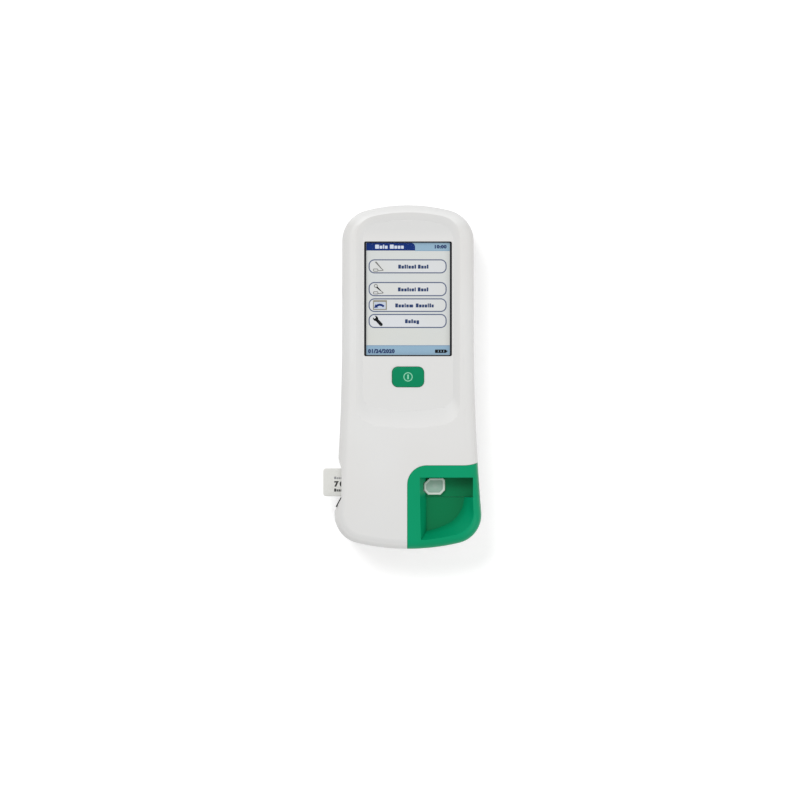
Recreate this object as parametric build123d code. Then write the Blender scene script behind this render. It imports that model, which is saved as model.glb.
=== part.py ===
from build123d import *
from functools import cache
from math import sqrt
import os

# Handheld cardiac marker analyzer, lying on its back on a table.
# The origin is on the table, on the body's centre line, half way along its length.
# +Y runs to the display end, +X to the strip side, +Z out of the display. Sizes in millimetres.
# The display, button and main board are placed from the upper end, the strip area from the lower end.

# Body outline, seen from the front
body_length = 244.0
upper_half_width = 46.7
flare_start_y = 33.0
flare_radius = 1550.0
upper_end_radius = 120.0
upper_corner_radius = 22.5
lower_end_radius = 157.0
lower_corner_radius = 20.5

# Body section, seen from the side
foot_height = 2.0
body_depth = 49.0
rear_half_depth = 22.0
front_draft = 2.5
rear_draft = 7.0
front_edge_radius = 7.0
rear_edge_radius = 10.0
slope_from_end = 76.0
slope_radius = 900.0
wall = 2.4

# Shallow dish round the display
dish_depth = 2.0
dish_border = 0.8
dish_side_run = 4.8
dish_end_margin = 5.5
dish_end_run = 6.0
dish_upper_corner = 17.0
dish_lower_run = 12.0
dish_below_button = 36.0
dish_lower_radius = 143.0
dish_lower_corner = 14.0

# Display stack
display_from_end = 26.5
display_opening_width = 62.0
display_opening_height = 81.0
display_opening_corner = 1.2
frame_side_width = 1.5
frame_end_width = 0.9
frame_inner_corner = 0.6
glass_thickness = 1.6
glass_recess = 0.6
lcd_side_overlap = 2.0
lcd_end_overlap = 2.5
lcd_thickness = 2.8
lcd_corner = 1.0
gasket_thickness = 0.8
gasket_clearance = 0.4
backlight_thickness = 2.6
backlight_inset = 1.0
bracket_sheet = 0.8
bracket_rim = 12.0
flex_width = 20.0
flex_thickness = 0.2
flex_bulge = 2.2
flex_tail = 4.0
standoff_radius = 2.2
standoff_inset = 7.0

# Power button and its switch
button_below_display = 14.5
button_width = 22.5
button_height = 14.3
button_corner = 4.1
button_rise = 0.9
button_edge = 0.8
button_travel = 1.0
button_flange = 2.0
button_flange_thickness = 1.2
button_stem_radius = 2.2
switch_side = 6.0
switch_height = 3.5
switch_plunger_radius = 1.6
switch_plunger_height = 0.6

# Fits
seam_gap = 0.15
slide_gap = 0.2
seat_gap = 0.1
glue_gap = 0.05

# Strip cover at the lower right
cover_left_x = -0.5
cover_top_from_end = 59.6
cover_corner_radius = 13.5
cover_sweep_x = 38.7
cover_sweep_radius = 31.0
cover_wall = 1.8
ledge_thickness = 2.0

# Scooped well in the strip cover
well_depth = 13.0
well_left_x = 8.1
well_top_from_end = 51.1
well_rim_width = 4.9
well_floor_left_x = 13.0
well_floor_right_x = 39.6
well_bend_from_end = 37.1
well_bend_radius = 21.0
well_floor_from_end = 13.1
well_floor_end_radius = 60.0
well_step = 0.6

# Test strip and its tray
strip_from_end = 44.7
strip_head_left_x = 11.2
strip_head_length = 14.9
strip_head_width = 11.8
strip_head_thickness = 2.4
strip_head_corners = (3.8, 1.5, 3.2, 3.0)
strip_head_edge = 0.4
strip_dish_depth = 0.7
strip_dish_rim = 1.5
strip_stem_length = 47.0
strip_stem_width = 8.0
strip_stem_thickness = 1.0
pad_end_margin = 6.0
pad_side_margin = 1.5
pad_thickness = 0.4
strip_clearance = 0.8
channel_offset = 0.6
tray_half_width = 6.8
tray_end_margin = 2.0
tray_post_radius = 2.5
tray_post_inset = 5.0
tray_ear_margin = 0.8
rail_height = 1.2
rail_width = 1.5
rail_end_gap = 5.5

# Finger notch and code chip on the left side
notch_floor_x = -47.0
notch_from_end = 57.6
notch_top_slope = 7.1 / 2.5
notch_bottom_slope = 9.1 / 5.0
notch_reach = 9.0
chip_width = 19.8
chip_length = 26.1
chip_thickness = 3.2
chip_corner = 2.0
chip_edge = 0.4
chip_inserted = 13.0
chip_top_gap = 0.3
chip_low_gap = 1.1
chip_level_share = 0.2
chip_contact_length = 6.5
chip_contact_margin = 1.5
chip_contact_thickness = 0.6
bezel_margin = 1.8
bezel_flange = 1.4
bezel_flange_thickness = 1.0
wing_length = 7.0
wing_thickness = 0.8
wing_root = 0.5
wing_corner_gap = 0.3
wing_below_parting = 1.0
wing_below_front = 4.0
socket_wall_gap = 4.0
socket_side = 1.6
socket_cover = 1.4
socket_end = 2.6
socket_stop_gap = 0.4

# Boards and their screws
board_thickness = 1.6
pcb_corner = 2.0
main_board_above_parting = 7.6
main_board_side_gap = 12.7
main_board_from_end = 14.0
main_board_below_button = 38.0
main_board_corner = 8.0
board_boss_radius = 3.2
board_boss_side_inset = 4.0
board_boss_end_inset = 5.0
board_screw_radius = 1.1
board_screw_head_radius = 2.1
board_screw_head_height = 1.4
board_screw_length = 7.0
reader_board_wall_gap = 3.0
reader_board_margin = 9.5
reader_board_offset = 1.9
reader_post_inset = 3.5

# Pieces on the main board
connector_height = 4.5
flex_socket_height = 1.8
flex_socket_length = 5.0
beeper_radius = 6.0
beeper_height = 4.5
beeper_hole_radius = 1.0
beeper_x = -18.0
cell_radius = 6.25
cell_thickness = 2.0
cell_seat = 1.0
cell_holder_rim = 1.05
cell_x = 18.0
small_piece_from_board_end = 13.0
chip_body_corner = 0.4
upper_chips_above_centre = 7.0
lower_chips_below_centre = 19.0
thick_chip_rise = 1.4
thin_chip_rise = 1.0
processor_side = 14.0
processor_x = 12.0
memory_width = 12.0
memory_height = 10.0
memory_x = -12.0
driver_side = 7.0
driver_x = 14.0
charger_width = 5.0
charger_height = 6.0
charger_x = -14.0
transformer_width = 9.0
transformer_height = 6.0
transformer_rise = 1.6
transformer_above_centre = 25.0
connector_corner = 0.6
flex_socket_margin = 1.0
battery_socket_width = 10.0
battery_socket_depth = 6.0
battery_socket_x = 24.0
battery_socket_above_button = 2.0
reader_socket_width = 6.0
reader_socket_length = 14.0
reader_socket_x = -28.0
reader_socket_below_button = 8.0

# Optics under the strip
optics_centre_x = -15.5
optics_width = 23.0
optics_height = 26.0
optics_above_back = 12.0
optics_corner = 2.0
optics_post_radius = 2.5
optics_post_inset = 3.2
lens_above_board = 6.0
lens_radius = 4.3
lens_thickness = 3.0
lens_bulge = 0.9
light_shaft_spread = 3.5
lamp_board_inset = 2.0
lamp_board_thickness = 1.0
lamp_board_depth = 2.4
lamp_side = 1.6
lamp_height = 0.8
sensor_side = 5.0
sensor_height = 1.2
reading_window_length = 8.0
reading_window_width = 5.0
reading_window_thickness = 0.8
heater_length = 24.0
heater_width = 11.0
heater_thickness = 1.4
heater_gap = 0.5

# Battery bay and its sliding cover
bay_half_width = 27.0
bay_above_button = 31.0
bay_below_button = 38.0
pack_gap = 0.5
pack_edge = 3.0
contact_space = 3.0
contact_pitch = 12.0
contact_width = 4.0
contact_leaf = 0.5
contact_height = 8.0
battery_cover_margin = 3.0
battery_cover_end_height = 10.0
battery_cover_thickness = 2.4
tongue_width = 2.0
tongue_thickness = 1.2
tongue_end_gap = 6.0
lip_thickness = 1.0
grip_count = 3
grip_length = 24.0
grip_width = 1.2
grip_depth = 0.6
grip_pitch = 3.0
grip_from_edge = 14.0

# Housing screws and feet
screw_seat_height = 8.0
screw_radius = 1.3
screw_head_radius = 2.6
screw_head_height = 2.0
screw_drive_radius = 1.1
screw_tip_cover = 5.0
screw_side_inset = 7.2
screw_corner_offset = 8.0
upper_screw_drop = 13.7
middle_screw_rise = 12.2
rear_boss_radius = 4.4
front_boss_radius = 3.5
foot_radius = 3.2
foot_socket = 0.6
foot_edge = 0.4
foot_from_end = 30.0
upper_foot_x = 27.0

# Windows in the upper end, power jack, dock contacts and vents
window_skin = 0.3
window_thickness = 1.5
scanner_window_width = 28.0
scanner_window_height = 12.0
scanner_window_corner = 3.0
scanner_above_parting = 12.0
scanner_body_width = 24.0
scanner_body_length = 13.0
scanner_from_end = 14.5
scanner_eye_radius = 3.4
scanner_lamp_radius = 1.6
scanner_lamp_x = 7.5
ir_window_width = 9.0
ir_window_height = 6.0
ir_window_corner = 2.0
ir_window_x = 24.5
ir_above_parting = 10.0
ir_from_end = 16.2
ir_body_width = 7.0
ir_body_length = 4.0
ir_eye_radius = 1.6
jack_above_display_centre = 5.0
jack_bore_radius = 2.85
jack_nose_radius = 3.9
jack_pin_radius = 1.05
jack_body_width = 10.0
jack_body_height = 9.2
jack_depth = 12.4
jack_back_wall = 1.5
dock_width = 20.0
dock_height = 5.6
dock_centre_x = -16.0
dock_below_parting = 5.4
dock_pad_count = 4
dock_pad_width = 2.6
dock_pad_height = 3.2
dock_recess = 0.15
dock_pad_thickness = 0.75
vent_count = 5
vent_length = 12.0
vent_width = 1.6
vent_pitch = 4.5
vent_from_end = 64.0
vent_x = 16.0

# Levels that follow from the sizes above
back_z = foot_height
parting_z = back_z + rear_half_depth
front_z = back_z + body_depth
dish_z = front_z - dish_depth
inner_front_z = dish_z - wall
ledge_z = parting_z + ledge_thickness
well_floor_z = front_z - well_depth
skirt_inset = cover_wall + slide_gap
plateau_z = well_floor_z - skirt_inset
strip_z = well_floor_z + seat_gap
tunnel_z = strip_z + strip_stem_thickness + strip_clearance
strip_exit_z = strip_z + strip_head_thickness + strip_clearance
chip_spare_height = plateau_z - parting_z - bezel_margin - chip_thickness - socket_cover
chip_centre_z = parting_z + bezel_margin + chip_thickness / 2 + chip_level_share * chip_spare_height
chip_low_z = chip_centre_z - chip_thickness / 2
reader_board_top_z = chip_low_z - socket_cover
main_board_top_z = parting_z + main_board_above_parting
gasket_low_z = inner_front_z - gasket_thickness
backlight_top_z = gasket_low_z - lcd_thickness
bracket_low_z = backlight_top_z - backlight_thickness - bracket_sheet
button_flange_z = inner_front_z - slide_gap
switch_top_z = main_board_top_z + switch_height
optics_low_z = back_z + optics_above_back
lens_z = optics_low_z + lens_above_board
lamp_board_z = plateau_z - lamp_board_depth
screw_seat_z = back_z + screw_seat_height
screw_tip_z = plateau_z - screw_tip_cover
bay_floor_inset = battery_cover_thickness + slide_gap
scanner_window_z = parting_z + scanner_above_parting
ir_window_z = parting_z + ir_above_parting
dock_centre_z = parting_z - dock_below_parting
wing_low_z = parting_z - wing_below_parting
wing_high_z = front_z - wing_below_front

# Places along the body that follow from the sizes above
end_y = body_length / 2
display_centre_y = end_y - display_from_end - display_opening_height / 2
display_low_y = display_centre_y - display_opening_height / 2
button_y = display_low_y - button_below_display
dish_lower_y = button_y - dish_below_button
main_board_low_y = button_y - main_board_below_button
main_board_high_y = end_y - main_board_from_end
bay_low_y = button_y - bay_below_button
bay_high_y = button_y + bay_above_button
battery_cover_high_y = bay_high_y + battery_cover_margin + 1.0
jack_y = display_centre_y + jack_above_display_centre
slope_start_y = slope_from_end - end_y
cover_top_y = cover_top_from_end - end_y
well_top_y = well_top_from_end - end_y
strip_centre_y = strip_from_end - end_y
channel_centre_y = strip_centre_y - channel_offset
notch_top_y = notch_from_end - end_y
notch_bottom_y = notch_top_y - chip_top_gap - chip_width - chip_low_gap
chip_centre_y = notch_top_y - chip_top_gap - chip_width / 2
reader_board_y = chip_centre_y - reader_board_offset

# Places across the body that follow from the sizes above
dish_margin = upper_half_width - display_opening_width / 2 - dish_border - dish_side_run
lcd_width = display_opening_width + 2 * lcd_side_overlap
lcd_height = display_opening_height + 2 * lcd_end_overlap
main_board_half_width = upper_half_width - main_board_side_gap
battery_cover_half_width = bay_half_width + battery_cover_margin
strip_end_x = strip_head_left_x - strip_stem_length
rail_start_x = strip_end_x - slide_gap
rail_end_x = cover_left_x - rail_end_gap
tray_left_x = rail_start_x - tray_end_margin
tray_post_x = tray_left_x + tray_post_inset
chip_inner_x = notch_floor_x + chip_inserted
chip_outer_x = chip_inner_x - chip_length
socket_low_x = notch_floor_x + wall + socket_wall_gap
socket_high_x = chip_inner_x + socket_stop_gap + socket_end
reader_board_low_x = notch_floor_x + wall + reader_board_wall_gap
reader_board_high_x = socket_high_x + socket_cover
reader_board_x = (reader_board_low_x + reader_board_high_x) / 2
reader_board_length = chip_width + 2 * socket_side + 2 * reader_board_margin
jack_inner_x = jack_depth - upper_half_width
lower_foot_x = battery_cover_half_width + tongue_width + foot_radius + 2 * slide_gap

# Cutting tools pass a face by over, and reach past the whole body by beyond
over = 1.0
beyond = 10.0
far_x = upper_half_width + beyond

upper_end_centre = Vector(0, end_y - upper_end_radius)
lower_end_centre = Vector(0, lower_end_radius - end_y)
flare_centre = Vector(upper_half_width + flare_radius, flare_start_y)
upper_corner_x = upper_half_width - upper_corner_radius


def circle_crossing(centre_a, radius_a, centre_b, radius_b):
    gap = centre_b - centre_a
    along = (radius_a**2 - radius_b**2 + gap.length**2) / (2 * gap.length)
    across = sqrt(radius_a**2 - along**2)
    unit = gap.normalized()
    return centre_a + unit * along + Vector(unit.Y, -unit.X) * across


upper_corner_centre = Vector(
    upper_corner_x,
    upper_end_centre.Y + sqrt((upper_end_radius - upper_corner_radius) ** 2 - upper_corner_x**2),
)
lower_corner_centre = circle_crossing(
    lower_end_centre,
    lower_end_radius - lower_corner_radius,
    flare_centre,
    flare_radius + lower_corner_radius,
)


# Small helpers
def block(low, high):
    size = [b - a for a, b in zip(low, high)]
    middle = [(a + b) / 2 for a, b in zip(low, high)]
    return Pos(*middle) * Box(*size)


def rod(radius, x, y, low_z, high_z):
    return Pos(x, y, (low_z + high_z) / 2) * Cylinder(radius, high_z - low_z)


def slab(width, height, corner, x, y, low_z, high_z):
    face = Pos(x, y, low_z) * RectangleRounded(width, height, corner)
    return extrude(face, high_z - low_z, dir=(0, 0, 1))


def prism(face, low_z, high_z):
    return extrude(Pos(0, 0, low_z) * face, high_z - low_z, dir=(0, 0, 1))


def both_sides(x, y):
    return [(-x, y), (x, y)]


def mirrored(point):
    return Vector(-point.X, point.Y)


def arc_about(centre, start, end):
    middle = ((start - centre) + (end - centre)).normalized()
    return ThreePointArc(start, centre + middle * (start - centre).length, end)


def group(solids):
    return Compound(children=[s.solid() if len(s.solids()) == 1 else s for s in solids])


# Body forms: the outside at inset 0, and the same form drawn in by a wall
@cache
def plan_outline(inset):
    to_upper = (upper_corner_centre - upper_end_centre).normalized()
    to_lower = (lower_corner_centre - lower_end_centre).normalized()
    to_flare = (lower_corner_centre - flare_centre).normalized()
    right = [
        upper_end_centre + to_upper * (upper_end_radius - inset),
        Vector(upper_half_width - inset, upper_corner_centre.Y),
        Vector(upper_half_width - inset, flare_start_y),
        flare_centre + to_flare * (flare_radius + inset),
        lower_end_centre + to_lower * (lower_end_radius - inset),
    ]
    left = [mirrored(p) for p in right]
    loop = [
        ThreePointArc(right[0], (0, end_y - inset), left[0]),
        arc_about(mirrored(upper_corner_centre), left[0], left[1]),
        Line(left[1], left[2]),
        arc_about(mirrored(flare_centre), left[2], left[3]),
        arc_about(mirrored(lower_corner_centre), left[3], left[4]),
        ThreePointArc(left[4], (0, inset - end_y), right[4]),
        arc_about(lower_corner_centre, right[4], right[3]),
        arc_about(flare_centre, right[3], right[2]),
        Line(right[2], right[1]),
        arc_about(upper_corner_centre, right[1], right[0]),
    ]
    return Face(Wire(loop))


def side_x(y):
    if y >= flare_start_y:
        return upper_half_width
    return flare_centre.X - sqrt(flare_radius**2 - (y - flare_start_y) ** 2)


def front_profile(top_z):
    low_y = -end_y - beyond
    high_y = end_y + beyond
    middle_y = (slope_start_y + low_y) / 2

    def slope_point(y):
        drop = slope_radius - sqrt(slope_radius**2 - (slope_start_y - y) ** 2)
        return (0, y, top_z - drop)

    start = (0, slope_start_y, top_z)
    lines = [
        Line((0, low_y, parting_z), (0, high_y, parting_z)),
        Line((0, high_y, parting_z), (0, high_y, top_z)),
        Line((0, high_y, top_z), start),
        ThreePointArc(start, slope_point(middle_y), slope_point(low_y)),
        Line(slope_point(low_y), (0, low_y, parting_z)),
    ]
    return extrude(make_face(Curve() + lines), end_y, dir=(1, 0, 0), both=True)


@cache
def front_form(inset, lowered=0.0):
    face = Pos(0, 0, parting_z) * plan_outline(inset)
    form = extrude(face, front_z - parting_z + beyond, taper=front_draft)
    form = form & front_profile(front_z - inset - lowered)
    lowest_rim_z = (parting_z + front_z) / 2
    rim = form.edges().filter_by(
        lambda e: e.bounding_box().min.Z > lowest_rim_z and e.bounding_box().size.Y > 0.01
    )
    return fillet(rim, front_edge_radius - inset)


@cache
def rear_form(inset):
    face = Pos(0, 0, parting_z) * plan_outline(inset)
    form = extrude(-face, parting_z - back_z - inset, taper=rear_draft)
    rim = form.edges().filter_by(lambda e: e.bounding_box().max.Z < back_z + inset + 0.01)
    return fillet(rim, max(rear_edge_radius - inset, over))


def corner_region(grow):
    left_x = cover_left_x - grow
    high_y = cover_top_y + grow
    bend = Vector(cover_left_x + cover_corner_radius, cover_top_y - cover_corner_radius)
    sweep_centre = Vector(cover_sweep_x, cover_top_y + cover_sweep_radius)
    sweep = cover_sweep_radius - grow
    low_y = -end_y - beyond
    rise_x = far_x - cover_sweep_x
    sweep_end = Vector(far_x, sweep_centre.Y - sqrt(sweep**2 - rise_x**2))
    loop = [
        Line((far_x, low_y), sweep_end),
        arc_about(sweep_centre, sweep_end, Vector(cover_sweep_x, high_y)),
        Line((cover_sweep_x, high_y), (bend.X, high_y)),
        arc_about(bend, Vector(bend.X, high_y), Vector(left_x, bend.Y)),
        Line((left_x, bend.Y), (left_x, low_y)),
        Line((left_x, low_y), (far_x, low_y)),
    ]
    return Face(Wire(loop))


# Dish round the display: a ruled wall from its crest line down to its floor
def dish_outline(side_inset, end_inset, lower_inset):
    half_width = upper_half_width - dish_margin - side_inset
    end_radius = upper_end_radius - dish_end_margin - end_inset
    upper_corner = dish_upper_corner - side_inset
    upper_x = half_width - upper_corner
    rise = sqrt((end_radius - upper_corner) ** 2 - upper_x**2)
    upper_centre = Vector(upper_x, upper_end_centre.Y + rise)
    to_upper = (upper_centre - upper_end_centre).normalized()
    arc_radius = dish_lower_radius - lower_inset
    corner = dish_lower_corner - side_inset
    arc_centre = Vector(0, dish_lower_y + dish_lower_radius)
    corner_x = half_width - corner
    corner_centre = Vector(corner_x, arc_centre.Y - sqrt((arc_radius - corner) ** 2 - corner_x**2))
    to_corner = (corner_centre - arc_centre).normalized()
    right = [
        upper_end_centre + to_upper * end_radius,
        Vector(half_width, upper_centre.Y),
        Vector(half_width, corner_centre.Y),
        arc_centre + to_corner * arc_radius,
    ]
    left = [mirrored(p) for p in right]
    loop = [
        ThreePointArc(right[0], (0, upper_end_centre.Y + end_radius), left[0]),
        arc_about(mirrored(upper_centre), left[0], left[1]),
        Line(left[1], left[2]),
        arc_about(mirrored(corner_centre), left[2], left[3]),
        ThreePointArc(left[3], (0, dish_lower_y + lower_inset), right[3]),
        arc_about(corner_centre, right[3], right[2]),
        Line(right[2], right[1]),
        arc_about(upper_centre, right[1], right[0]),
    ]
    return Face(Wire(loop))


def dish_tool():
    crest = dish_outline(0.0, 0.0, 0.0)
    floor = dish_outline(dish_side_run, dish_end_run, dish_lower_run)
    scoop = loft([Pos(0, 0, dish_z) * floor, Pos(0, 0, front_z) * crest], ruled=True)
    return scoop + prism(crest, front_z, front_z + beyond)


# Well of the strip cover: floor, small step and a ruled scoop out to the rim
def well_floor_outline(grow):
    left_x = well_floor_left_x - grow
    right_x = well_floor_right_x + grow
    high_y = well_top_y + grow
    end = Vector(left_x, well_floor_from_end - end_y - grow)
    bend = Vector(well_floor_right_x - well_bend_radius, well_bend_from_end - end_y)
    bend_radius = well_bend_radius + grow
    end_radius = well_floor_end_radius + grow
    end_centre = circle_crossing(bend, end_radius - bend_radius, end, end_radius)
    meet = end_centre + (bend - end_centre).normalized() * end_radius
    loop = [
        arc_about(end_centre, end, meet),
        arc_about(bend, meet, Vector(right_x, bend.Y)),
        Line((right_x, bend.Y), (right_x, high_y)),
        Line((right_x, high_y), (left_x, high_y)),
        Line((left_x, high_y), end),
    ]
    return Face(Wire(loop))


def well_rim_outline(grow):
    inset = well_rim_width - grow
    left_x = well_left_x - grow
    high_y = well_top_y + grow
    end_reach = lower_end_radius - inset
    side_reach = flare_radius + inset
    to_lower = (lower_corner_centre - lower_end_centre).normalized()
    to_flare = (lower_corner_centre - flare_centre).normalized()
    start = Vector(left_x, lower_end_centre.Y - sqrt(end_reach**2 - left_x**2))
    tangent = lower_end_centre + to_lower * end_reach
    side = flare_centre + to_flare * side_reach
    side_top = Vector(flare_centre.X - sqrt(side_reach**2 - (high_y - flare_centre.Y) ** 2), high_y)
    loop = [
        arc_about(lower_end_centre, start, tangent),
        arc_about(lower_corner_centre, tangent, side),
        arc_about(flare_centre, side, side_top),
        Line(side_top, (left_x, high_y)),
        Line((left_x, high_y), start),
    ]
    return Face(Wire(loop))


def well_tool(grow):
    floor = well_floor_outline(grow)
    rim = well_rim_outline(grow)
    step_z = well_floor_z + well_step - grow
    scoop = loft([Pos(0, 0, step_z) * floor, Pos(0, 0, front_z) * rim], ruled=True)
    return scoop + prism(floor, well_floor_z - grow, step_z) + prism(rim, front_z, front_z + beyond)


# Finger notch in the left side, where the code chip goes in
def notch_tool(grow):
    outer_x = notch_floor_x - notch_reach
    points = [
        (outer_x, notch_top_y + notch_reach * notch_top_slope),
        (outer_x, notch_bottom_y - notch_reach * notch_bottom_slope),
        (notch_floor_x, notch_bottom_y),
        (notch_floor_x, notch_top_y),
    ]
    face = make_face(Polyline(*points, close=True))
    if grow:
        face = offset(face, grow, kind=Kind.INTERSECTION)
    return prism(face, back_z - beyond, front_z + beyond)


# Screw, post and foot places
upper_screw_y = upper_corner_centre.Y - upper_screw_drop
middle_screw_y = cover_top_y + middle_screw_rise
lower_screw = lower_corner_centre + Vector(1, -1).normalized() * screw_corner_offset
housing_screw_places = [
    *both_sides(upper_half_width - screw_side_inset, upper_screw_y),
    *both_sides(side_x(middle_screw_y) - screw_side_inset, middle_screw_y),
    *both_sides(lower_screw.X, lower_screw.Y),
]
board_boss_x = main_board_half_width - board_boss_side_inset
board_screw_places = [
    *both_sides(board_boss_x, main_board_low_y + board_boss_end_inset),
    *both_sides(board_boss_x, main_board_high_y - board_boss_end_inset),
]
reader_post_reach = reader_board_length / 2 - reader_post_inset
reader_post_places = [(reader_board_x, reader_board_y + s * reader_post_reach) for s in (-1, 1)]
optics_post_x = optics_width / 2 - optics_post_inset
optics_post_y = optics_height / 2 - optics_post_inset
optics_post_places = [
    (optics_centre_x - optics_post_x, strip_centre_y + optics_post_y),
    (optics_centre_x + optics_post_x, strip_centre_y - optics_post_y),
]
tray_post_reach = tray_half_width + slide_gap + tray_post_radius
tray_post_places = [(tray_post_x, channel_centre_y + s * tray_post_reach) for s in (-1, 1)]
foot_places = [
    *both_sides(upper_foot_x, end_y - foot_from_end),
    *both_sides(lower_foot_x, foot_from_end - end_y),
]


# Openings shared by the piece with the hole and the piece that fills it
def display_opening(grow, low_z, high_z):
    width = display_opening_width + 2 * grow
    height = display_opening_height + 2 * grow
    return slab(width, height, display_opening_corner + grow, 0, display_centre_y, low_z, high_z)


def end_window(width, height, corner, x, z):
    face = Plane.XZ * Pos(x, z) * RectangleRounded(width, height, corner)
    return extrude(face, 2 * end_y, dir=(0, 1, 0))


def chip_passage(low_x, high_x, margin):
    half_width = chip_width / 2 + margin
    half_height = chip_thickness / 2 + margin
    return block(
        (low_x, chip_centre_y - half_width, chip_centre_z - half_height),
        (high_x, chip_centre_y + half_width, chip_centre_z + half_height),
    )


def jack_rod(radius, low_x, high_x):
    centre_z = main_board_top_z + jack_body_height / 2
    middle = (low_x + high_x) / 2
    return Pos(middle, jack_y, centre_z) * Rot(0, 90, 0) * Cylinder(radius, high_x - low_x)


def dock_box(grow):
    half_width = dock_width / 2 + grow
    half_height = dock_height / 2 + grow
    return block(
        (dock_centre_x - half_width, -end_y - beyond, dock_centre_z - half_height),
        (dock_centre_x + half_width, -end_y + 2 * beyond, dock_centre_z + half_height),
    )


def strip_channel(grow, low_x, high_x, low_z, high_z):
    half = tray_half_width + grow
    return block((low_x, channel_centre_y - half, low_z), (high_x, channel_centre_y + half, high_z))


def button_slab(grow, low_z, high_z):
    width = button_width + 2 * grow
    height = button_height + 2 * grow
    return slab(width, height, button_corner + grow, 0, button_y, low_z, high_z)


# Front half of the housing
def make_front_housing():
    outer = front_form(0.0) - dish_tool() - notch_tool(0.0)
    outer -= prism(corner_region(seam_gap), ledge_z, front_z + beyond)
    plateau = front_form(skirt_inset) & prism(corner_region(-skirt_inset), ledge_z, plateau_z)
    hollow_inset = skirt_inset + wall
    hollow = front_form(hollow_inset) & prism(corner_region(-hollow_inset), parting_z, plateau_z - wall)
    cavity = front_form(wall, dish_depth)
    cavity -= prism(corner_region(seam_gap + wall), parting_z, front_z)
    cavity -= notch_tool(wall)
    shell = outer + plateau - hollow - cavity

    # bosses rise half way into the skin above them
    under_skin = front_form(wall / 2)
    skin_z = inner_front_z + wall / 2
    for x, y in housing_screw_places:
        under_cover = x > cover_left_x and y < cover_top_y
        top_z = plateau_z - wall / 2 if under_cover else skin_z
        shell += rod(front_boss_radius, x, y, parting_z, top_z) & under_skin
    for x, y in board_screw_places:
        shell += rod(board_boss_radius, x, y, main_board_top_z, skin_z)
    for x, y in tray_post_places:
        shell += rod(tray_post_radius, x, y, well_floor_z, skin_z)
    for x, y in housing_screw_places:
        shell -= rod(screw_radius, x, y, parting_z - over, screw_tip_z + over)
    for x, y in board_screw_places:
        hole_z = main_board_top_z + board_screw_length
        shell -= rod(board_screw_radius, x, y, main_board_top_z - over, hole_z)

    shell -= display_opening(0.0, inner_front_z - over, front_z)
    shell -= button_slab(slide_gap, inner_front_z - over, front_z)
    slot_z = strip_z + strip_stem_thickness + rail_height
    shell -= strip_channel(slide_gap, cover_left_x - 2 * wall, cover_left_x + wall, plateau_z, slot_z)
    shell -= chip_passage(notch_floor_x - over, notch_floor_x + 2 * wall, bezel_margin)
    shell -= scanner_opening(0.0)
    shell -= ir_opening(0.0)
    shell -= jack_rod(jack_nose_radius + seat_gap, -far_x, -upper_half_width + 2 * wall)
    return shell


# Strip cover with its scooped well and walled strip channel
def make_strip_cover():
    head_x = strip_head_left_x - 2 * slide_gap
    mouth_x = well_floor_right_x - 2 * cover_wall
    rim_x = side_x(channel_centre_y) - well_rim_width
    outer = front_form(0.0) & prism(corner_region(0.0), ledge_z + seat_gap, front_z + beyond)
    hollow = front_form(cover_wall) & prism(corner_region(-cover_wall), parting_z, front_z)
    hollow -= well_tool(cover_wall)
    wall_low_z = plateau_z + slide_gap
    hollow -= strip_channel(slide_gap + cover_wall, head_x - cover_wall, far_x, wall_low_z, front_z)
    cover = outer - well_tool(0.0) - hollow
    cover -= strip_channel(slide_gap, cover_left_x - over, far_x, parting_z, tunnel_z)
    cover -= strip_channel(slide_gap, mouth_x, far_x, parting_z, strip_exit_z)
    cover -= strip_channel(slide_gap, mouth_x, rim_x, well_floor_z, front_z + beyond)
    cover -= strip_head_block(-2 * slide_gap, well_floor_z, front_z + beyond)
    return cover


# Fixed tray that carries the strip and closes the channel under the cover
def make_strip_tray():
    plate = strip_channel(0.0, tray_left_x, far_x, plateau_z, well_floor_z) & front_form(0.0)
    skin = front_form(0.0) - front_form(cover_wall)
    apron = skin & strip_channel(0.0, far_x - 2 * beyond, far_x, ledge_z + seat_gap, well_floor_z)
    ear = tray_post_radius + tray_ear_margin
    tray = plate + apron + block(
        (tray_post_x - ear, channel_centre_y - tray_post_reach - ear, plateau_z),
        (tray_post_x + ear, channel_centre_y + tray_post_reach + ear, well_floor_z),
    )
    rail_y = strip_stem_width / 2 + slide_gap + rail_width / 2
    for y in (strip_centre_y - rail_y, strip_centre_y + rail_y):
        tray += block(
            (rail_start_x, y - rail_width / 2, plateau_z + over),
            (rail_end_x, y + rail_width / 2, well_floor_z + rail_height),
        )
    return tray - reading_opening(0.0, plateau_z - over, well_floor_z + over)


def reading_opening(grow, low_z, high_z):
    half_length = reading_window_length / 2 + grow
    half_width = reading_window_width / 2 + grow
    return block(
        (optics_centre_x - half_length, strip_centre_y - half_width, low_z),
        (optics_centre_x + half_length, strip_centre_y + half_width, high_z),
    )


def make_reading_window():
    return reading_opening(-glue_gap, well_floor_z - reading_window_thickness, well_floor_z)


# Test strip: a head with a sample well outside, a thin stem with its pads inside
def strip_head_block(inset, low_z, high_z):
    left_x = strip_head_left_x + inset
    right_x = strip_head_left_x + strip_head_length - inset
    low_y = strip_centre_y - strip_head_width / 2 + inset
    high_y = strip_centre_y + strip_head_width / 2 - inset
    upper_left, upper_right, lower_right, lower_left = [c - inset / 2 for c in strip_head_corners]
    points = [
        (left_x, low_y + lower_left),
        (left_x, high_y - upper_left),
        (left_x + upper_left, high_y),
        (right_x - upper_right, high_y),
        (right_x, high_y - upper_right),
        (right_x, low_y + lower_right),
        (right_x - lower_right, low_y),
        (left_x + lower_left, low_y),
    ]
    return prism(make_face(Polyline(*points, close=True)), low_z, high_z)


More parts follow.
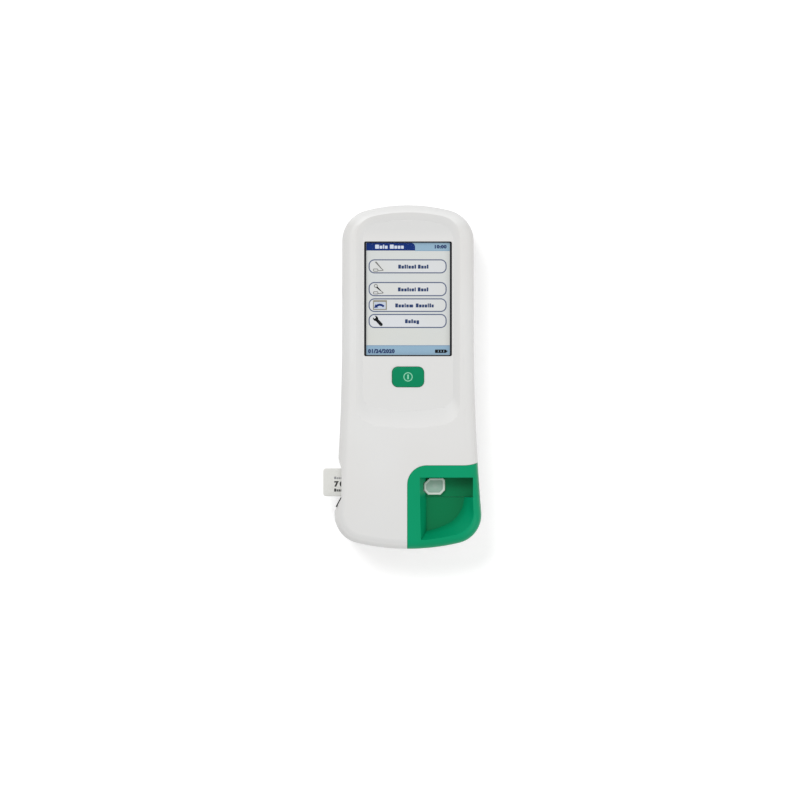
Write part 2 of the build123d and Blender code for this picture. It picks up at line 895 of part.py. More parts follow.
def pad_block(gap):
    half_width = strip_stem_width / 2 - pad_side_margin - gap
    high_z = strip_z + strip_stem_thickness
    return block(
        (strip_end_x + pad_end_margin + gap, strip_centre_y - half_width, high_z - pad_thickness),
        (strip_head_left_x - pad_end_margin - gap, strip_centre_y + half_width, high_z),
    )


def make_test_strip():
    top_z = strip_z + strip_head_thickness
    head = strip_head_block(0.0, strip_z, top_z)
    head = chamfer(head.faces().sort_by(Axis.Z)[-1].edges(), strip_head_edge)
    head -= strip_head_block(strip_dish_rim, top_z - strip_dish_depth, top_z + over)
    stem = block(
        (strip_end_x, strip_centre_y - strip_stem_width / 2, strip_z),
        (strip_head_left_x + over, strip_centre_y + strip_stem_width / 2, strip_z + strip_stem_thickness),
    )
    return head + stem - pad_block(0.0)


def make_strip_pads():
    return pad_block(glue_gap)


# Code chip, its contact board, the black bezel round its slot and its socket
def chip_contact_block(gap):
    high_x = chip_inner_x - chip_contact_margin
    half_width = chip_width / 2 - 2 * chip_contact_margin - gap
    return block(
        (high_x - chip_contact_length + gap, chip_centre_y - half_width, chip_low_z),
        (high_x - gap, chip_centre_y + half_width, chip_low_z + chip_contact_thickness),
    )


def make_code_chip():
    centre_x = (chip_outer_x + chip_inner_x) / 2
    body = slab(
        chip_length, chip_width, chip_corner,
        centre_x, chip_centre_y, chip_low_z, chip_low_z + chip_thickness,
    )
    body = fillet(body.edges().filter_by(Axis.Z, reverse=True), chip_edge)
    return body - chip_contact_block(0.0)


def make_chip_contacts():
    return chip_contact_block(glue_gap)


def wing_plate(root, low_z, high_z):
    slope = Vector(-1, -notch_bottom_slope).normalized()
    across = Vector(slope.Y, -slope.X) * wing_thickness
    corner = Vector(notch_floor_x, notch_bottom_y)
    start = corner - slope * root
    end = corner + slope * wing_length
    face = make_face(Polyline(start, end, end + across, start + across, close=True))
    return prism(face, low_z, high_z)


def make_chip_slot_bezel():
    flange_x = notch_floor_x + wall + seat_gap
    back_x = flange_x + bezel_flange_thickness
    frame = chip_passage(notch_floor_x, flange_x, bezel_margin - glue_gap)
    frame += chip_passage(flange_x, back_x, bezel_margin + bezel_flange)
    frame -= chip_passage(notch_floor_x - over, back_x + over, slide_gap)
    tab_reach = chip_thickness / 2 + bezel_margin / 2
    wing = wing_plate(-wing_corner_gap, wing_low_z, wing_high_z)
    return frame + wing + wing_plate(wing_root, chip_centre_z - tab_reach, chip_centre_z + tab_reach)


def make_chip_socket():
    half = chip_width / 2 + socket_side
    body = block(
        (socket_low_x, chip_centre_y - half, reader_board_top_z),
        (socket_high_x, chip_centre_y + half, chip_low_z + chip_thickness + socket_cover),
    )
    return body - chip_passage(socket_low_x - over, socket_high_x - socket_end, slide_gap)


def make_reader_board():
    board = slab(
        reader_board_high_x - reader_board_low_x, reader_board_length, pcb_corner,
        reader_board_x, reader_board_y, reader_board_top_z - board_thickness, reader_board_top_z,
    )
    for x, y in reader_post_places:
        board -= board_hole(x, y, reader_board_top_z)
    return board


def board_hole(x, y, top_z):
    return rod(board_screw_radius + seat_gap, x, y, top_z - board_thickness - over, top_z + over)


# Display stack
def screen_slab(gap, low_z, high_z):
    width = display_opening_width - 2 * frame_side_width - 2 * gap
    height = display_opening_height - 2 * frame_end_width - 2 * gap
    return slab(width, height, frame_inner_corner - gap, 0, display_centre_y, low_z, high_z)


def lcd_slab(grow, corner, low_z, high_z):
    return slab(lcd_width + 2 * grow, lcd_height + 2 * grow, corner, 0, display_centre_y, low_z, high_z)


def make_display_frame():
    ring = display_opening(-seam_gap, gasket_low_z, dish_z - seam_gap)
    return ring - screen_slab(0.0, gasket_low_z - over, front_z)


def make_touch_glass():
    top_z = dish_z - glass_recess
    return screen_slab(seat_gap, top_z - glass_thickness, top_z)


def make_lcd_panel():
    panel = lcd_slab(0.0, lcd_corner, backlight_top_z, gasket_low_z)
    glass_low_z = dish_z - glass_recess - glass_thickness
    return panel + screen_slab(2 * seat_gap, gasket_low_z - seat_gap, glass_low_z)


def make_display_gasket():
    ring = lcd_slab(0.0, lcd_corner, gasket_low_z, inner_front_z)
    return ring - display_opening(gasket_clearance, gasket_low_z - over, inner_front_z + over)


def make_backlight_unit():
    return lcd_slab(-backlight_inset, lcd_corner, backlight_top_z - backlight_thickness, backlight_top_z)


def make_lcd_bracket():
    floor_z = bracket_low_z + bracket_sheet
    outer_grow = slide_gap + bracket_sheet
    edge_y = display_centre_y - lcd_height / 2
    half_slot = flex_width / 2 + over
    tray = lcd_slab(outer_grow, lcd_corner + bracket_sheet, bracket_low_z, inner_front_z)
    tray -= lcd_slab(slide_gap, lcd_corner, floor_z, inner_front_z + over)
    tray -= block(
        (-half_slot, edge_y - 2 * over, floor_z + over),
        (half_slot, edge_y, inner_front_z + over),
    )
    tray -= lcd_slab(-bracket_rim, 4 * lcd_corner, bracket_low_z - over, floor_z + seat_gap)
    return tray


def make_lcd_flex():
    edge_y = display_centre_y - lcd_height / 2
    bend_y = edge_y - flex_bulge
    exit_z = backlight_top_z + flex_thickness
    foot_z = main_board_top_z + flex_socket_height
    half = flex_width / 2
    upper = block((-half, bend_y, exit_z), (half, edge_y, exit_z + flex_thickness))
    drop = block((-half, bend_y, foot_z), (half, bend_y + flex_thickness, exit_z + flex_thickness))
    lower = block((-half, bend_y, foot_z), (half, edge_y + flex_tail, foot_z + flex_thickness))
    return upper + drop + lower


def make_display_standoffs():
    reach_x = lcd_width / 2 - standoff_inset
    reach_y = lcd_height / 2 - standoff_inset
    places = both_sides(reach_x, display_centre_y - reach_y)
    places += both_sides(reach_x, display_centre_y + reach_y)
    return group([rod(standoff_radius, x, y, main_board_top_z, bracket_low_z) for x, y in places])


# Power button and its switch
def make_power_button():
    cap = button_slab(0.0, button_flange_z - over / 2, dish_z + button_rise)
    cap = fillet(cap.faces().sort_by(Axis.Z)[-1].edges(), button_edge)
    flange_low_z = button_flange_z - button_flange_thickness
    stem_low_z = switch_top_z + button_travel + seat_gap
    flange = button_slab(button_flange, flange_low_z, button_flange_z)
    return cap + flange + rod(button_stem_radius, 0, button_y, stem_low_z, flange_low_z)


def make_power_switch():
    base_top_z = switch_top_z - switch_plunger_height
    base = slab(switch_side, switch_side, pcb_corner / 4, 0, button_y, main_board_top_z, base_top_z)
    return base + rod(switch_plunger_radius, 0, button_y, base_top_z - seat_gap, switch_top_z)


# Main board and what stands on it
def make_main_board():
    low_z = main_board_top_z - board_thickness
    height = main_board_high_y - main_board_low_y
    centre_y = (main_board_high_y + main_board_low_y) / 2
    board = slab(2 * main_board_half_width, height, main_board_corner, 0, centre_y, low_z, main_board_top_z)
    shelf_outer_x = 2 * wall - upper_half_width
    shelf_half_width = jack_body_width / 2 + pcb_corner
    board += block(
        (shelf_outer_x, jack_y - shelf_half_width, low_z),
        (jack_inner_x + board_boss_side_inset, jack_y + shelf_half_width, main_board_top_z),
    )
    for x, y in board_screw_places:
        board -= board_hole(x, y, main_board_top_z)
    return board


def on_main_board(width, height, corner, x, y, rise):
    return slab(width, height, corner, x, y, main_board_top_z, main_board_top_z + rise)


def board_chip(width, height, x, y, rise):
    return on_main_board(width, height, chip_body_corner, x, y, rise)


def make_board_chips():
    upper_y = display_centre_y + upper_chips_above_centre
    lower_y = display_centre_y - lower_chips_below_centre
    transformer_y = display_centre_y + transformer_above_centre
    return group([
        board_chip(processor_side, processor_side, processor_x, upper_y, thick_chip_rise),
        board_chip(memory_width, memory_height, memory_x, upper_y, thin_chip_rise),
        board_chip(driver_side, driver_side, driver_x, lower_y, thin_chip_rise),
        board_chip(charger_width, charger_height, charger_x, lower_y, thin_chip_rise),
        board_chip(transformer_width, transformer_height, 0, transformer_y, transformer_rise),
    ])


def make_board_connectors():
    flex_socket_y = display_centre_y - lcd_height / 2 + flex_socket_length / 2
    flex_socket = on_main_board(
        flex_width + 2 * flex_socket_margin, flex_socket_length, chip_body_corner,
        0, flex_socket_y, flex_socket_height,
    )
    battery_socket = on_main_board(
        battery_socket_width, battery_socket_depth, connector_corner,
        battery_socket_x, button_y + battery_socket_above_button, connector_height,
    )
    reader_socket = on_main_board(
        reader_socket_width, reader_socket_length, connector_corner,
        reader_socket_x, button_y - reader_socket_below_button, connector_height,
    )
    return group([flex_socket, battery_socket, reader_socket])


def make_beeper():
    y = main_board_low_y + small_piece_from_board_end
    top_z = main_board_top_z + beeper_height
    body = rod(beeper_radius, beeper_x, y, main_board_top_z, top_z)
    return body - rod(beeper_hole_radius, beeper_x, y, top_z - over, top_z + over)


def cell_rod(radius, low_z, high_z):
    return rod(radius, cell_x, main_board_low_y + small_piece_from_board_end, low_z, high_z)


def make_cell_holder():
    seat_z = main_board_top_z + cell_seat
    base = cell_rod(cell_radius + seat_gap + cell_holder_rim, main_board_top_z, seat_z + cell_thickness)
    return base - cell_rod(cell_radius + seat_gap, seat_z, seat_z + cell_thickness + over)


def make_backup_cell():
    seat_z = main_board_top_z + cell_seat
    cell = cell_rod(cell_radius, seat_z, seat_z + cell_thickness)
    return chamfer(cell.faces().sort_by(Axis.Z)[-1].edges(), cell_thickness / 5)


# Optics below the reading window
def optics_slab(inset, corner, low_z, high_z):
    return slab(
        optics_width - 2 * inset, optics_height - 2 * inset, corner,
        optics_centre_x, strip_centre_y, low_z, high_z,
    )


def lamp_board_slab(grow, low_z, high_z):
    side = optics_width - 2 * lamp_board_inset + 2 * grow
    return slab(side, side, pcb_corner / 2, optics_centre_x, strip_centre_y, low_z, high_z)


def make_optics_housing():
    shaft_low_z = lens_z + lens_thickness
    shaft_middle = Pos(optics_centre_x, strip_centre_y, (shaft_low_z + plateau_z) / 2)
    shaft = shaft_middle * Cone(lens_radius, lens_radius + light_shaft_spread, plateau_z - shaft_low_z)
    body = optics_slab(0.0, optics_corner, optics_low_z, plateau_z)
    body -= shaft
    lens_top_z = shaft_low_z + seat_gap
    body -= rod(lens_radius, optics_centre_x, strip_centre_y, optics_low_z - over, lens_top_z)
    return body - lamp_board_slab(seat_gap, lamp_board_z - seat_gap, plateau_z)


def make_illumination_board():
    top_z = lamp_board_z + lamp_board_thickness
    board = lamp_board_slab(0.0, lamp_board_z, top_z)
    light_radius = lens_radius + light_shaft_spread
    board -= rod(light_radius, optics_centre_x, strip_centre_y, lamp_board_z - over, top_z + over)
    lamp_reach = optics_width / 2 - lamp_board_inset - 1.2 * lamp_side
    for sx, sy in ((-1, -1), (-1, 1), (1, -1), (1, 1)):
        x = optics_centre_x + sx * lamp_reach
        y = strip_centre_y + sy * lamp_reach
        board += slab(lamp_side, lamp_side, seat_gap, x, y, top_z - seat_gap, top_z + lamp_height)
    return board


def make_optics_lens():
    radius = lens_radius - glue_gap
    edge_z = lens_z + lens_thickness - lens_bulge
    top_z = lens_z + lens_thickness
    dome = (radius**2 + lens_bulge**2) / (2 * lens_bulge)
    middle = (radius / 2, 0, top_z - dome + sqrt(dome**2 - radius**2 / 4))
    outline = [
        Line((0, 0, lens_z), (radius, 0, lens_z)),
        Line((radius, 0, lens_z), (radius, 0, edge_z)),
        ThreePointArc((radius, 0, edge_z), middle, (0, 0, top_z)),
        Line((0, 0, top_z), (0, 0, lens_z)),
    ]
    lens = revolve(make_face(Curve() + outline), Axis.Z)
    return Pos(optics_centre_x, strip_centre_y, 0) * lens


def make_optics_board():
    board = optics_slab(0.0, optics_corner, optics_low_z - board_thickness, optics_low_z)
    sensor = slab(
        sensor_side, sensor_side, seat_gap,
        optics_centre_x, strip_centre_y, optics_low_z - seat_gap, optics_low_z + sensor_height,
    )
    return board + sensor


def make_heater_plate():
    low_z = strip_z + strip_stem_thickness + heater_gap
    return slab(
        heater_length, heater_width, pcb_corner / 2,
        optics_centre_x, strip_centre_y, low_z, low_z + heater_thickness,
    )


# Windows and modules in the upper end
def scanner_opening(gap):
    return end_window(
        scanner_window_width - 2 * gap, scanner_window_height - 2 * gap, scanner_window_corner - gap,
        0, scanner_window_z,
    )


def ir_opening(gap):
    return end_window(
        ir_window_width - 2 * gap, ir_window_height - 2 * gap, ir_window_corner - gap,
        ir_window_x, ir_window_z,
    )


def window_sheet():
    return front_form(window_skin) - front_form(window_skin + window_thickness)


def make_scanner_window():
    return window_sheet() & scanner_opening(seam_gap)


def make_ir_window():
    return window_sheet() & ir_opening(seam_gap)


def make_scanner_module():
    y = end_y - scanner_from_end
    front_y = y + scanner_body_length / 2
    top_z = scanner_window_z + scanner_window_height / 2
    body = slab(scanner_body_width, scanner_body_length, pcb_corner / 2, 0, y, main_board_top_z, top_z)
    for radius, x in ((scanner_eye_radius, 0.0), (scanner_lamp_radius, scanner_lamp_x)):
        body += Pos(x, front_y, scanner_window_z) * Rot(90, 0, 0) * Cylinder(radius, 2 * over)
    return body


def make_ir_transceiver():
    y = end_y - ir_from_end
    body = slab(
        ir_body_width, ir_body_length, pcb_corner / 4,
        ir_window_x, y, main_board_top_z, ir_window_z + ir_eye_radius + seat_gap,
    )
    return body + Pos(ir_window_x, y + ir_body_length / 2, ir_window_z) * Sphere(ir_eye_radius)


# Power jack and dock contacts
def make_power_jack():
    mouth_x = -upper_half_width - over
    back_x = jack_inner_x - jack_back_wall
    body = block(
        (2 * wall - upper_half_width, jack_y - jack_body_width / 2, main_board_top_z),
        (jack_inner_x, jack_y + jack_body_width / 2, main_board_top_z + jack_body_height),
    )
    nose = jack_rod(jack_nose_radius, mouth_x, back_x) & front_form(window_skin)
    return body + nose - jack_rod(jack_bore_radius, mouth_x, back_x)


def make_jack_pin():
    pin = jack_rod(jack_pin_radius, 2 * over - upper_half_width, jack_inner_x - jack_back_wall)
    return chamfer(pin.faces().sort_by(Axis.X)[0].edges(), jack_pin_radius / 3)


def dock_pads():
    pitch = dock_width / dock_pad_count
    first_x = dock_centre_x - (dock_width - pitch) / 2
    skin = rear_form(dock_recess) - rear_form(dock_recess + dock_pad_thickness)
    pads = []
    for i in range(dock_pad_count):
        x = first_x + i * pitch
        pads.append(skin & block(
            (x - dock_pad_width / 2, -end_y - beyond, dock_centre_z - dock_pad_height / 2),
            (x + dock_pad_width / 2, -end_y + beyond, dock_centre_z + dock_pad_height / 2),
        ))
    return pads


def make_dock_block():
    skin = rear_form(dock_recess) - rear_form(wall + over)
    plug = skin & dock_box(-glue_gap)
    for pad in dock_pads():
        plug -= pad
    return plug


def make_dock_contacts():
    return group(dock_pads())


# Rear half of the housing, with the battery bay
def cover_zone(grow):
    half = battery_cover_half_width + grow
    return block(
        (-half, -end_y - beyond, back_z - over),
        (half, battery_cover_high_y + grow, back_z + battery_cover_end_height + grow),
    )


def tongue_boxes(grow, low_y):
    inner_x = battery_cover_half_width - over
    outer_x = battery_cover_half_width + tongue_width + grow
    low_z = back_z + lip_thickness + seat_gap - grow / 2
    high_z = back_z + lip_thickness + seat_gap + tongue_thickness + grow / 2
    right = block((inner_x, low_y, low_z), (outer_x, battery_cover_high_y, high_z))
    return [right, mirror(right, about=Plane.YZ)]


def bay_box(grow, low_z, high_z):
    return block(
        (-bay_half_width - grow, bay_low_y - grow, low_z),
        (bay_half_width + grow, bay_high_y + grow, high_z),
    )


def make_rear_housing():
    raised_floor_inset = bay_floor_inset + wall
    cavity = rear_form(wall) - cover_zone(slide_gap + wall)
    cavity += rear_form(raised_floor_inset) & cover_zone(raised_floor_inset + wall)
    shell = rear_form(0.0) - cavity - notch_tool(0.0)
    shell += (notch_tool(wall) & rear_form(0.0)) - notch_tool(0.0)
    shell += bay_box(wall, back_z + bay_floor_inset, parting_z + wall / 2)
    for x, y in housing_screw_places:
        shell += rod(rear_boss_radius, x, y, back_z, parting_z) & rear_form(wall / 2)
    post_top_z = reader_board_top_z - board_thickness
    for x, y in reader_post_places:
        shell += rod(board_boss_radius, x, y, back_z + wall / 2, post_top_z)
    optics_post_low_z = back_z + bay_floor_inset + wall / 2
    for x, y in optics_post_places:
        shell += rod(optics_post_radius, x, y, optics_post_low_z, optics_low_z - board_thickness)

    shell -= bay_box(0.0, back_z, parting_z - wall / 2)
    shell -= cover_zone(slide_gap) - rear_form(bay_floor_inset)
    for groove in tongue_boxes(slide_gap, -end_y - beyond):
        shell -= groove
    for x, y in housing_screw_places:
        shell -= rod(screw_head_radius + 2 * slide_gap, x, y, back_z - over, screw_seat_z)
        shell -= rod(screw_radius + slide_gap, x, y, screw_seat_z - over, parting_z + over)
    for x, y in reader_post_places:
        shell -= rod(board_screw_radius, x, y, post_top_z - board_screw_length, post_top_z + over)
    for x, y in foot_places:
        shell -= rod(foot_radius + glue_gap, x, y, back_z - over, back_z + foot_socket)
    vent_end = vent_width / 2 - glue_gap
    for i in range(vent_count):
        y = end_y - vent_from_end + i * vent_pitch
        for x in (-vent_x, vent_x):
            shell -= slab(vent_length, vent_width, vent_end, x, y, back_z - over, back_z + wall + over)
    return shell - dock_box(0.0)


def make_battery_cover():
    cover = (rear_form(0.0) - rear_form(battery_cover_thickness)) & cover_zone(0.0)
    for tongue in tongue_boxes(0.0, -end_y + rear_edge_radius + tongue_end_gap):
        cover += tongue
    for i in range(grip_count):
        y = battery_cover_high_y - grip_from_edge - i * grip_pitch
        cover -= slab(grip_length, grip_width, 0.4 * grip_width, 0, y, back_z - over, back_z + grip_depth)
    return cover


def make_battery_pack():
    pack = block(
        (pack_gap - bay_half_width, bay_low_y + pack_gap, back_z + bay_floor_inset + slide_gap),
        (bay_half_width - pack_gap, bay_high_y - contact_space, parting_z - wall / 2 - pack_gap),
    )
    return fillet(pack.edges().filter_by(Axis.Y), pack_edge)


def make_battery_contacts():
    middle_z = (back_z + parting_z) / 2
    low_z = middle_z - contact_height / 2
    tip_y = bay_high_y - contact_space
    half = contact_width / 2
    leaves = []
    for x in (-contact_pitch, 0.0, contact_pitch):
        root_y = bay_high_y - contact_leaf
        root = block((x - half, root_y, low_z), (x + half, bay_high_y, low_z + contact_height))
        foot = block((x - half, tip_y, low_z - contact_leaf), (x + half, bay_high_y, low_z))
        tip = block((x - half, tip_y, low_z - contact_leaf), (x + half, tip_y + contact_leaf, middle_z))
        leaves.append(root + foot + tip)
    return group(leaves)


# Fasteners and feet
def make_housing_screws():
    screws = []
    for x, y in housing_screw_places:
        head_z = screw_seat_z - screw_head_height
        head = rod(screw_head_radius, x, y, head_z, screw_seat_z)
        head = chamfer(head.faces().sort_by(Axis.Z)[0].edges(), screw_head_height / 6)
        shank = rod(screw_radius - glue_gap, x, y, screw_seat_z - seat_gap, screw_tip_z)
        drive = rod(screw_drive_radius, x, y, head_z - over, head_z + screw_head_height / 2)
        screws.append(head + shank - drive)
    return group(screws)


def board_screw(x, y, seat_z, direction):
    head_z = seat_z - direction * board_screw_head_height
    tip_z = seat_z + direction * board_screw_length
    shank_z = seat_z - direction * seat_gap
    head = rod(board_screw_head_radius, x, y, min(head_z, seat_z), max(head_z, seat_z))
    return head + rod(board_screw_radius - glue_gap, x, y, min(shank_z, tip_z), max(shank_z, tip_z))


def make_board_screws():
    low_z = main_board_top_z - board_thickness
    screws = [board_screw(x, y, low_z, 1) for x, y in board_screw_places]
    screws += [board_screw(x, y, reader_board_top_z, -1) for x, y in reader_post_places]
    return group(screws)


def make_rubber_feet():
    feet = []
    for x, y in foot_places:
        foot = rod(foot_radius, x, y, 0, back_z + foot_socket)
        feet.append(chamfer(foot.faces().sort_by(Axis.Z)[0].edges(), foot_edge))
    return group(feet)


makers = {
    "front_housing": make_front_housing,
    "rear_housing": make_rear_housing,
    "display_frame": make_display_frame,
    "touch_glass": make_touch_glass,
    "lcd_panel": make_lcd_panel,
    "backlight_unit": make_backlight_unit,
    "lcd_bracket": make_lcd_bracket,
    "display_gasket": make_display_gasket,
    "lcd_flex": make_lcd_flex,
    "display_standoffs": make_display_standoffs,
    "main_board": make_main_board,
    "board_chips": make_board_chips,
    "board_connectors": make_board_connectors,
    "power_button": make_power_button,
    "power_switch": make_power_switch,
    "beeper": make_beeper,
    "cell_holder": make_cell_holder,
    "backup_cell": make_backup_cell,
    "strip_cover": make_strip_cover,
    "strip_tray": make_strip_tray,
    "reading_window": make_reading_window,
    "test_strip": make_test_strip,
    "strip_pads": make_strip_pads,
    "code_chip": make_code_chip,
    "chip_contacts": make_chip_contacts,
    "chip_slot_bezel": make_chip_slot_bezel,
    "chip_socket": make_chip_socket,
    "reader_board": make_reader_board,
    "optics_housing": make_optics_housing,
    "optics_lens": make_optics_lens,
    "optics_board": make_optics_board,
    "illumination_board": make_illumination_board,
    "heater_plate": make_heater_plate,
    "scanner_window": make_scanner_window,
    "scanner_module": make_scanner_module,
    "ir_window": make_ir_window,
    "ir_transceiver": make_ir_transceiver,
    "power_jack": make_power_jack,
    "jack_pin": make_jack_pin,
    "dock_block": make_dock_block,
    "dock_contacts": make_dock_contacts,
    "battery_pack": make_battery_pack,
    "battery_contacts": make_battery_contacts,
    "battery_cover": make_battery_cover,
    "housing_screws": make_housing_screws,
    "board_screws": make_board_screws,
    "rubber_feet": make_rubber_feet,
}

os.makedirs("parts", exist_ok=True)
for name, maker in makers.items():
    export_step(maker(), f"parts/{name}.step")
    print(name)
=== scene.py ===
import math
import bmesh
import bpy
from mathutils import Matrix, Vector


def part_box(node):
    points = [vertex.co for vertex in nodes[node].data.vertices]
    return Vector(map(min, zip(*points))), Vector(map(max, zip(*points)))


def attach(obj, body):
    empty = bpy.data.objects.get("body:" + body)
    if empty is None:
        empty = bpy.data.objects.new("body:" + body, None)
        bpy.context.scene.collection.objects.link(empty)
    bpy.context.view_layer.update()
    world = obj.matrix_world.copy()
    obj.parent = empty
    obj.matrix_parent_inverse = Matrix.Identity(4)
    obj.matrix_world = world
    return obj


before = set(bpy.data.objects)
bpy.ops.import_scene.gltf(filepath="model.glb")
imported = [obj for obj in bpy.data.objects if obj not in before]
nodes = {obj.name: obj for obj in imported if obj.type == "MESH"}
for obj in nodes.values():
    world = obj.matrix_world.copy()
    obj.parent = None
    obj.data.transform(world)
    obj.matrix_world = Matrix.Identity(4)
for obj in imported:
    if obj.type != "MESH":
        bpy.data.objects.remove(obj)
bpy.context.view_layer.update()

mm = 0.001
print("frame loaded:", len(nodes), "CAD pieces")


def toLinear(hexColour):
    channels = [int(hexColour[i:i + 2], 16) / 255 for i in (1, 3, 5)]
    curved = [c / 12.92 if c <= 0.04045 else ((c + 0.055) / 1.055) ** 2.4 for c in channels]
    return (*curved, 1.0)


def addNode(tree, kind, inputs=(), **settings):
    # one node with its settings and links; inputs go by name or number, or in order from the first
    node = tree.nodes.new(kind)
    for name, value in settings.items():
        setattr(node, name, value)
    for socket, value in inputs.items() if isinstance(inputs, dict) else enumerate(inputs):
        if isinstance(value, bpy.types.NodeSocket):
            tree.links.new(value, node.inputs[socket])
        else:
            node.inputs[socket].default_value = value
    return node


def startMaterial(name, look):
    # a material with its plain numbers set on the shader itself
    material = bpy.data.materials.new(name)
    material.use_nodes = True
    tree = material.node_tree
    shader = tree.nodes["Principled BSDF"]
    shader.inputs["Base Color"].default_value = toLinear(look["colour"])
    shader.inputs["Roughness"].default_value = look["roughness"]
    shader.inputs["IOR"].default_value = look.get("ior", 1.5)
    shader.inputs["Metallic"].default_value = look.get("metallic", 0.0)
    shader.inputs["Specular IOR Level"].default_value = look.get("specular", 0.5)
    material.diffuse_color = toLinear(look["colour"])
    return material, tree, shader


noiseSpan = (0.3, 0.7)  # nearly all of Blender's noise lies between these


def finishSurface(tree, shader, look, drift, grain, span=noiseSpan):
    # the drift moves the colour between two tones; the grain moves the gloss and stands in relief
    share = addNode(tree, "ShaderNodeMapRange", (drift, *span, 0, 1)).outputs[0]
    tones = {0: share, 6: toLinear(look["colour"]), 7: toLinear(look["shade"])}
    tint = addNode(tree, "ShaderNodeMix", tones, data_type="RGBA").outputs[2]
    tree.links.new(tint, shader.inputs["Base Color"])
    gloss = (look["roughness"] - look["uneven"], look["roughness"] + look["uneven"])
    rough = addNode(tree, "ShaderNodeMapRange", (grain, *span, *gloss)).outputs[0]
    tree.links.new(rough, shader.inputs["Roughness"])
    bump = addNode(tree, "ShaderNodeBump", {
        "Height": grain, "Distance": look["relief"] * mm, "Strength": 1.0})
    tree.links.new(bump.outputs[0], shader.inputs["Normal"])
    return tint, bump.outputs[0]


def dress(material, *names):
    for name in names:
        slots = nodes[name].data.materials
        slots.clear()
        slots.append(material)


def mouldedPlastic(name, look):
    # injection moulded in a spark-eroded tool: an even fine grain that scatters the gloss; a look
    # may also add painted shade, painted highlights and a seam
    material, tree, shader = startMaterial(name, look)
    place = addNode(tree, "ShaderNodeTexCoord")
    drift, grain = (
        addNode(tree, "ShaderNodeTexNoise", {
            "Vector": place.outputs["Object"], "Scale": 1 / (look[size] * mm),
            "Detail": detail}).outputs["Fac"]
        for size, detail in (("drift", 1.0), ("grain", 3.0)))
    tint, bump = finishSurface(tree, shader, look, drift, grain)
    level = addNode(tree, "ShaderNodeSeparateXYZ", (place.outputs["Object"],)).outputs["Z"]
    if "paintedShade" in look:  # painted shade: sunken plastic sees less sky, so what faces up down there is painted darker
        low, high = (edge * mm for edge in look["paintedShadeLevels"])
        share = addNode(tree, "ShaderNodeMapRange", (level, low, high, 1, 0)).outputs[0]
        facing = addNode(tree, "ShaderNodeSeparateXYZ", (place.outputs["Normal"],)).outputs["Z"]
        for steps in look["paintedShadeFacing"]:  # facing from and to, then the painted shade's share at each
            part = addNode(tree, "ShaderNodeMapRange", (facing, *steps)).outputs[0]
            share = addNode(tree, "ShaderNodeMath", (share, part), operation="MULTIPLY").outputs[0]
        tint = addNode(tree, "ShaderNodeMix", {
            0: share, 6: tint, 7: toLinear(look["paintedShade"])}, data_type="RGBA").outputs[2]
        tree.links.new(tint, shader.inputs["Base Color"])
    if "paintedLightAtUpperEnd" in look:  # painted light from the display end: painted shade darkens the dish there, painted highlights brighten its crest and rim
        along = addNode(tree, "ShaderNodeSeparateXYZ", (place.outputs["Object"],)).outputs["Y"]
        normal = addNode(tree, "ShaderNodeSeparateXYZ", (place.outputs["Normal"],)).outputs
        sources = {"slant": (normal["Y"], 1), "facing": (normal["Z"], 1), "level": (level, mm)}
        for tone in look["paintedLightAtUpperEnd"]:
            low, high = (edge * mm for edge in tone["along"])
            share = addNode(tree, "ShaderNodeMapRange", (along, low, high, 0, 1)).outputs[0]
            for key, (value, unit) in sources.items():
                low, high = (edge * unit for edge in tone[key])
                part = addNode(tree, "ShaderNodeMapRange", (value, low, high, 0, 1)).outputs[0]
                share = addNode(tree, "ShaderNodeMath", (share, part),
                                operation="MULTIPLY").outputs[0]
            tint = addNode(tree, "ShaderNodeMix", {
                0: share, 6: tint, 7: toLinear(tone["colour"])}, data_type="RGBA").outputs[2]
        tree.links.new(tint, shader.inputs["Base Color"])
    if "seam" in look:  # the fine gap where the two halves of the housing meet
        width = look["seamGap"] * mm
        above = addNode(tree, "ShaderNodeMath", (level, look["seam"] * mm), operation="SUBTRACT")
        away = addNode(tree, "ShaderNodeMath", (above.outputs[0],), operation="ABSOLUTE")
        gap = addNode(tree, "ShaderNodeMapRange", (
            away.outputs[0], width / 2, width, 1, 0)).outputs[0]
        tint = addNode(tree, "ShaderNodeMix", {
            0: gap, 6: tint, 7: toLinear(look["seamShade"])}, data_type="RGBA").outputs[2]
        tree.links.new(tint, shader.inputs["Base Color"])
        height = addNode(tree, "ShaderNodeMapRange", (gap, 0, 1, 1, 0)).outputs[0]
        groove = addNode(tree, "ShaderNodeBump", {
            "Height": height, "Distance": width, "Strength": 1.0, "Normal": bump})
        tree.links.new(groove.outputs[0], shader.inputs["Normal"])
    return material


housingLook = {  # white ABS and PC blend, fine satin grain, a touch warmer in its second tone
    "colour": "#D9D9D8", "shade": "#D6D5D3", "roughness": 0.42, "uneven": 0.05,
    "ior": 1.53, "specular": 0.4, "drift": 60.0, "relief": 0.014,
    "grain": 0.9,  # real grain is about 0.1 mm, drawn coarser so that it shows
    "seam": 24.0, "seamGap": 0.25, "seamShade": "#7C7C7A",
    "paintedShade": "#D4D4D3", "paintedShadeLevels": (49.1, 50.8),  # painted shade in the dish, darkest at the foot of its slopes
    "paintedShadeFacing": ((0.99, 0.997, 1.0, 0.4), (0.85, 0.92, 0.0, 1.0)),
    "paintedLightAtUpperEnd": (  # painted shade on the dish, painted highlights on its crest and the rim outside it; each span runs from none to all
        {"colour": "#D0D0CF", "along": (97.0, 104.0), "slant": (0.05, 0.01),
         "facing": (0.93, 0.99), "level": (50.9, 50.6)},
        {"colour": "#E2E2E1", "along": (106.0, 112.0), "slant": (-0.12, 0.0),
         "facing": (0.9, 0.97), "level": (50.6, 50.9)},
        {"colour": "#E2E2E1", "along": (106.0, 112.0), "slant": (0.02, 0.1),
         "facing": (0.0, 0.3), "level": (0.0, 10.0)}),
}
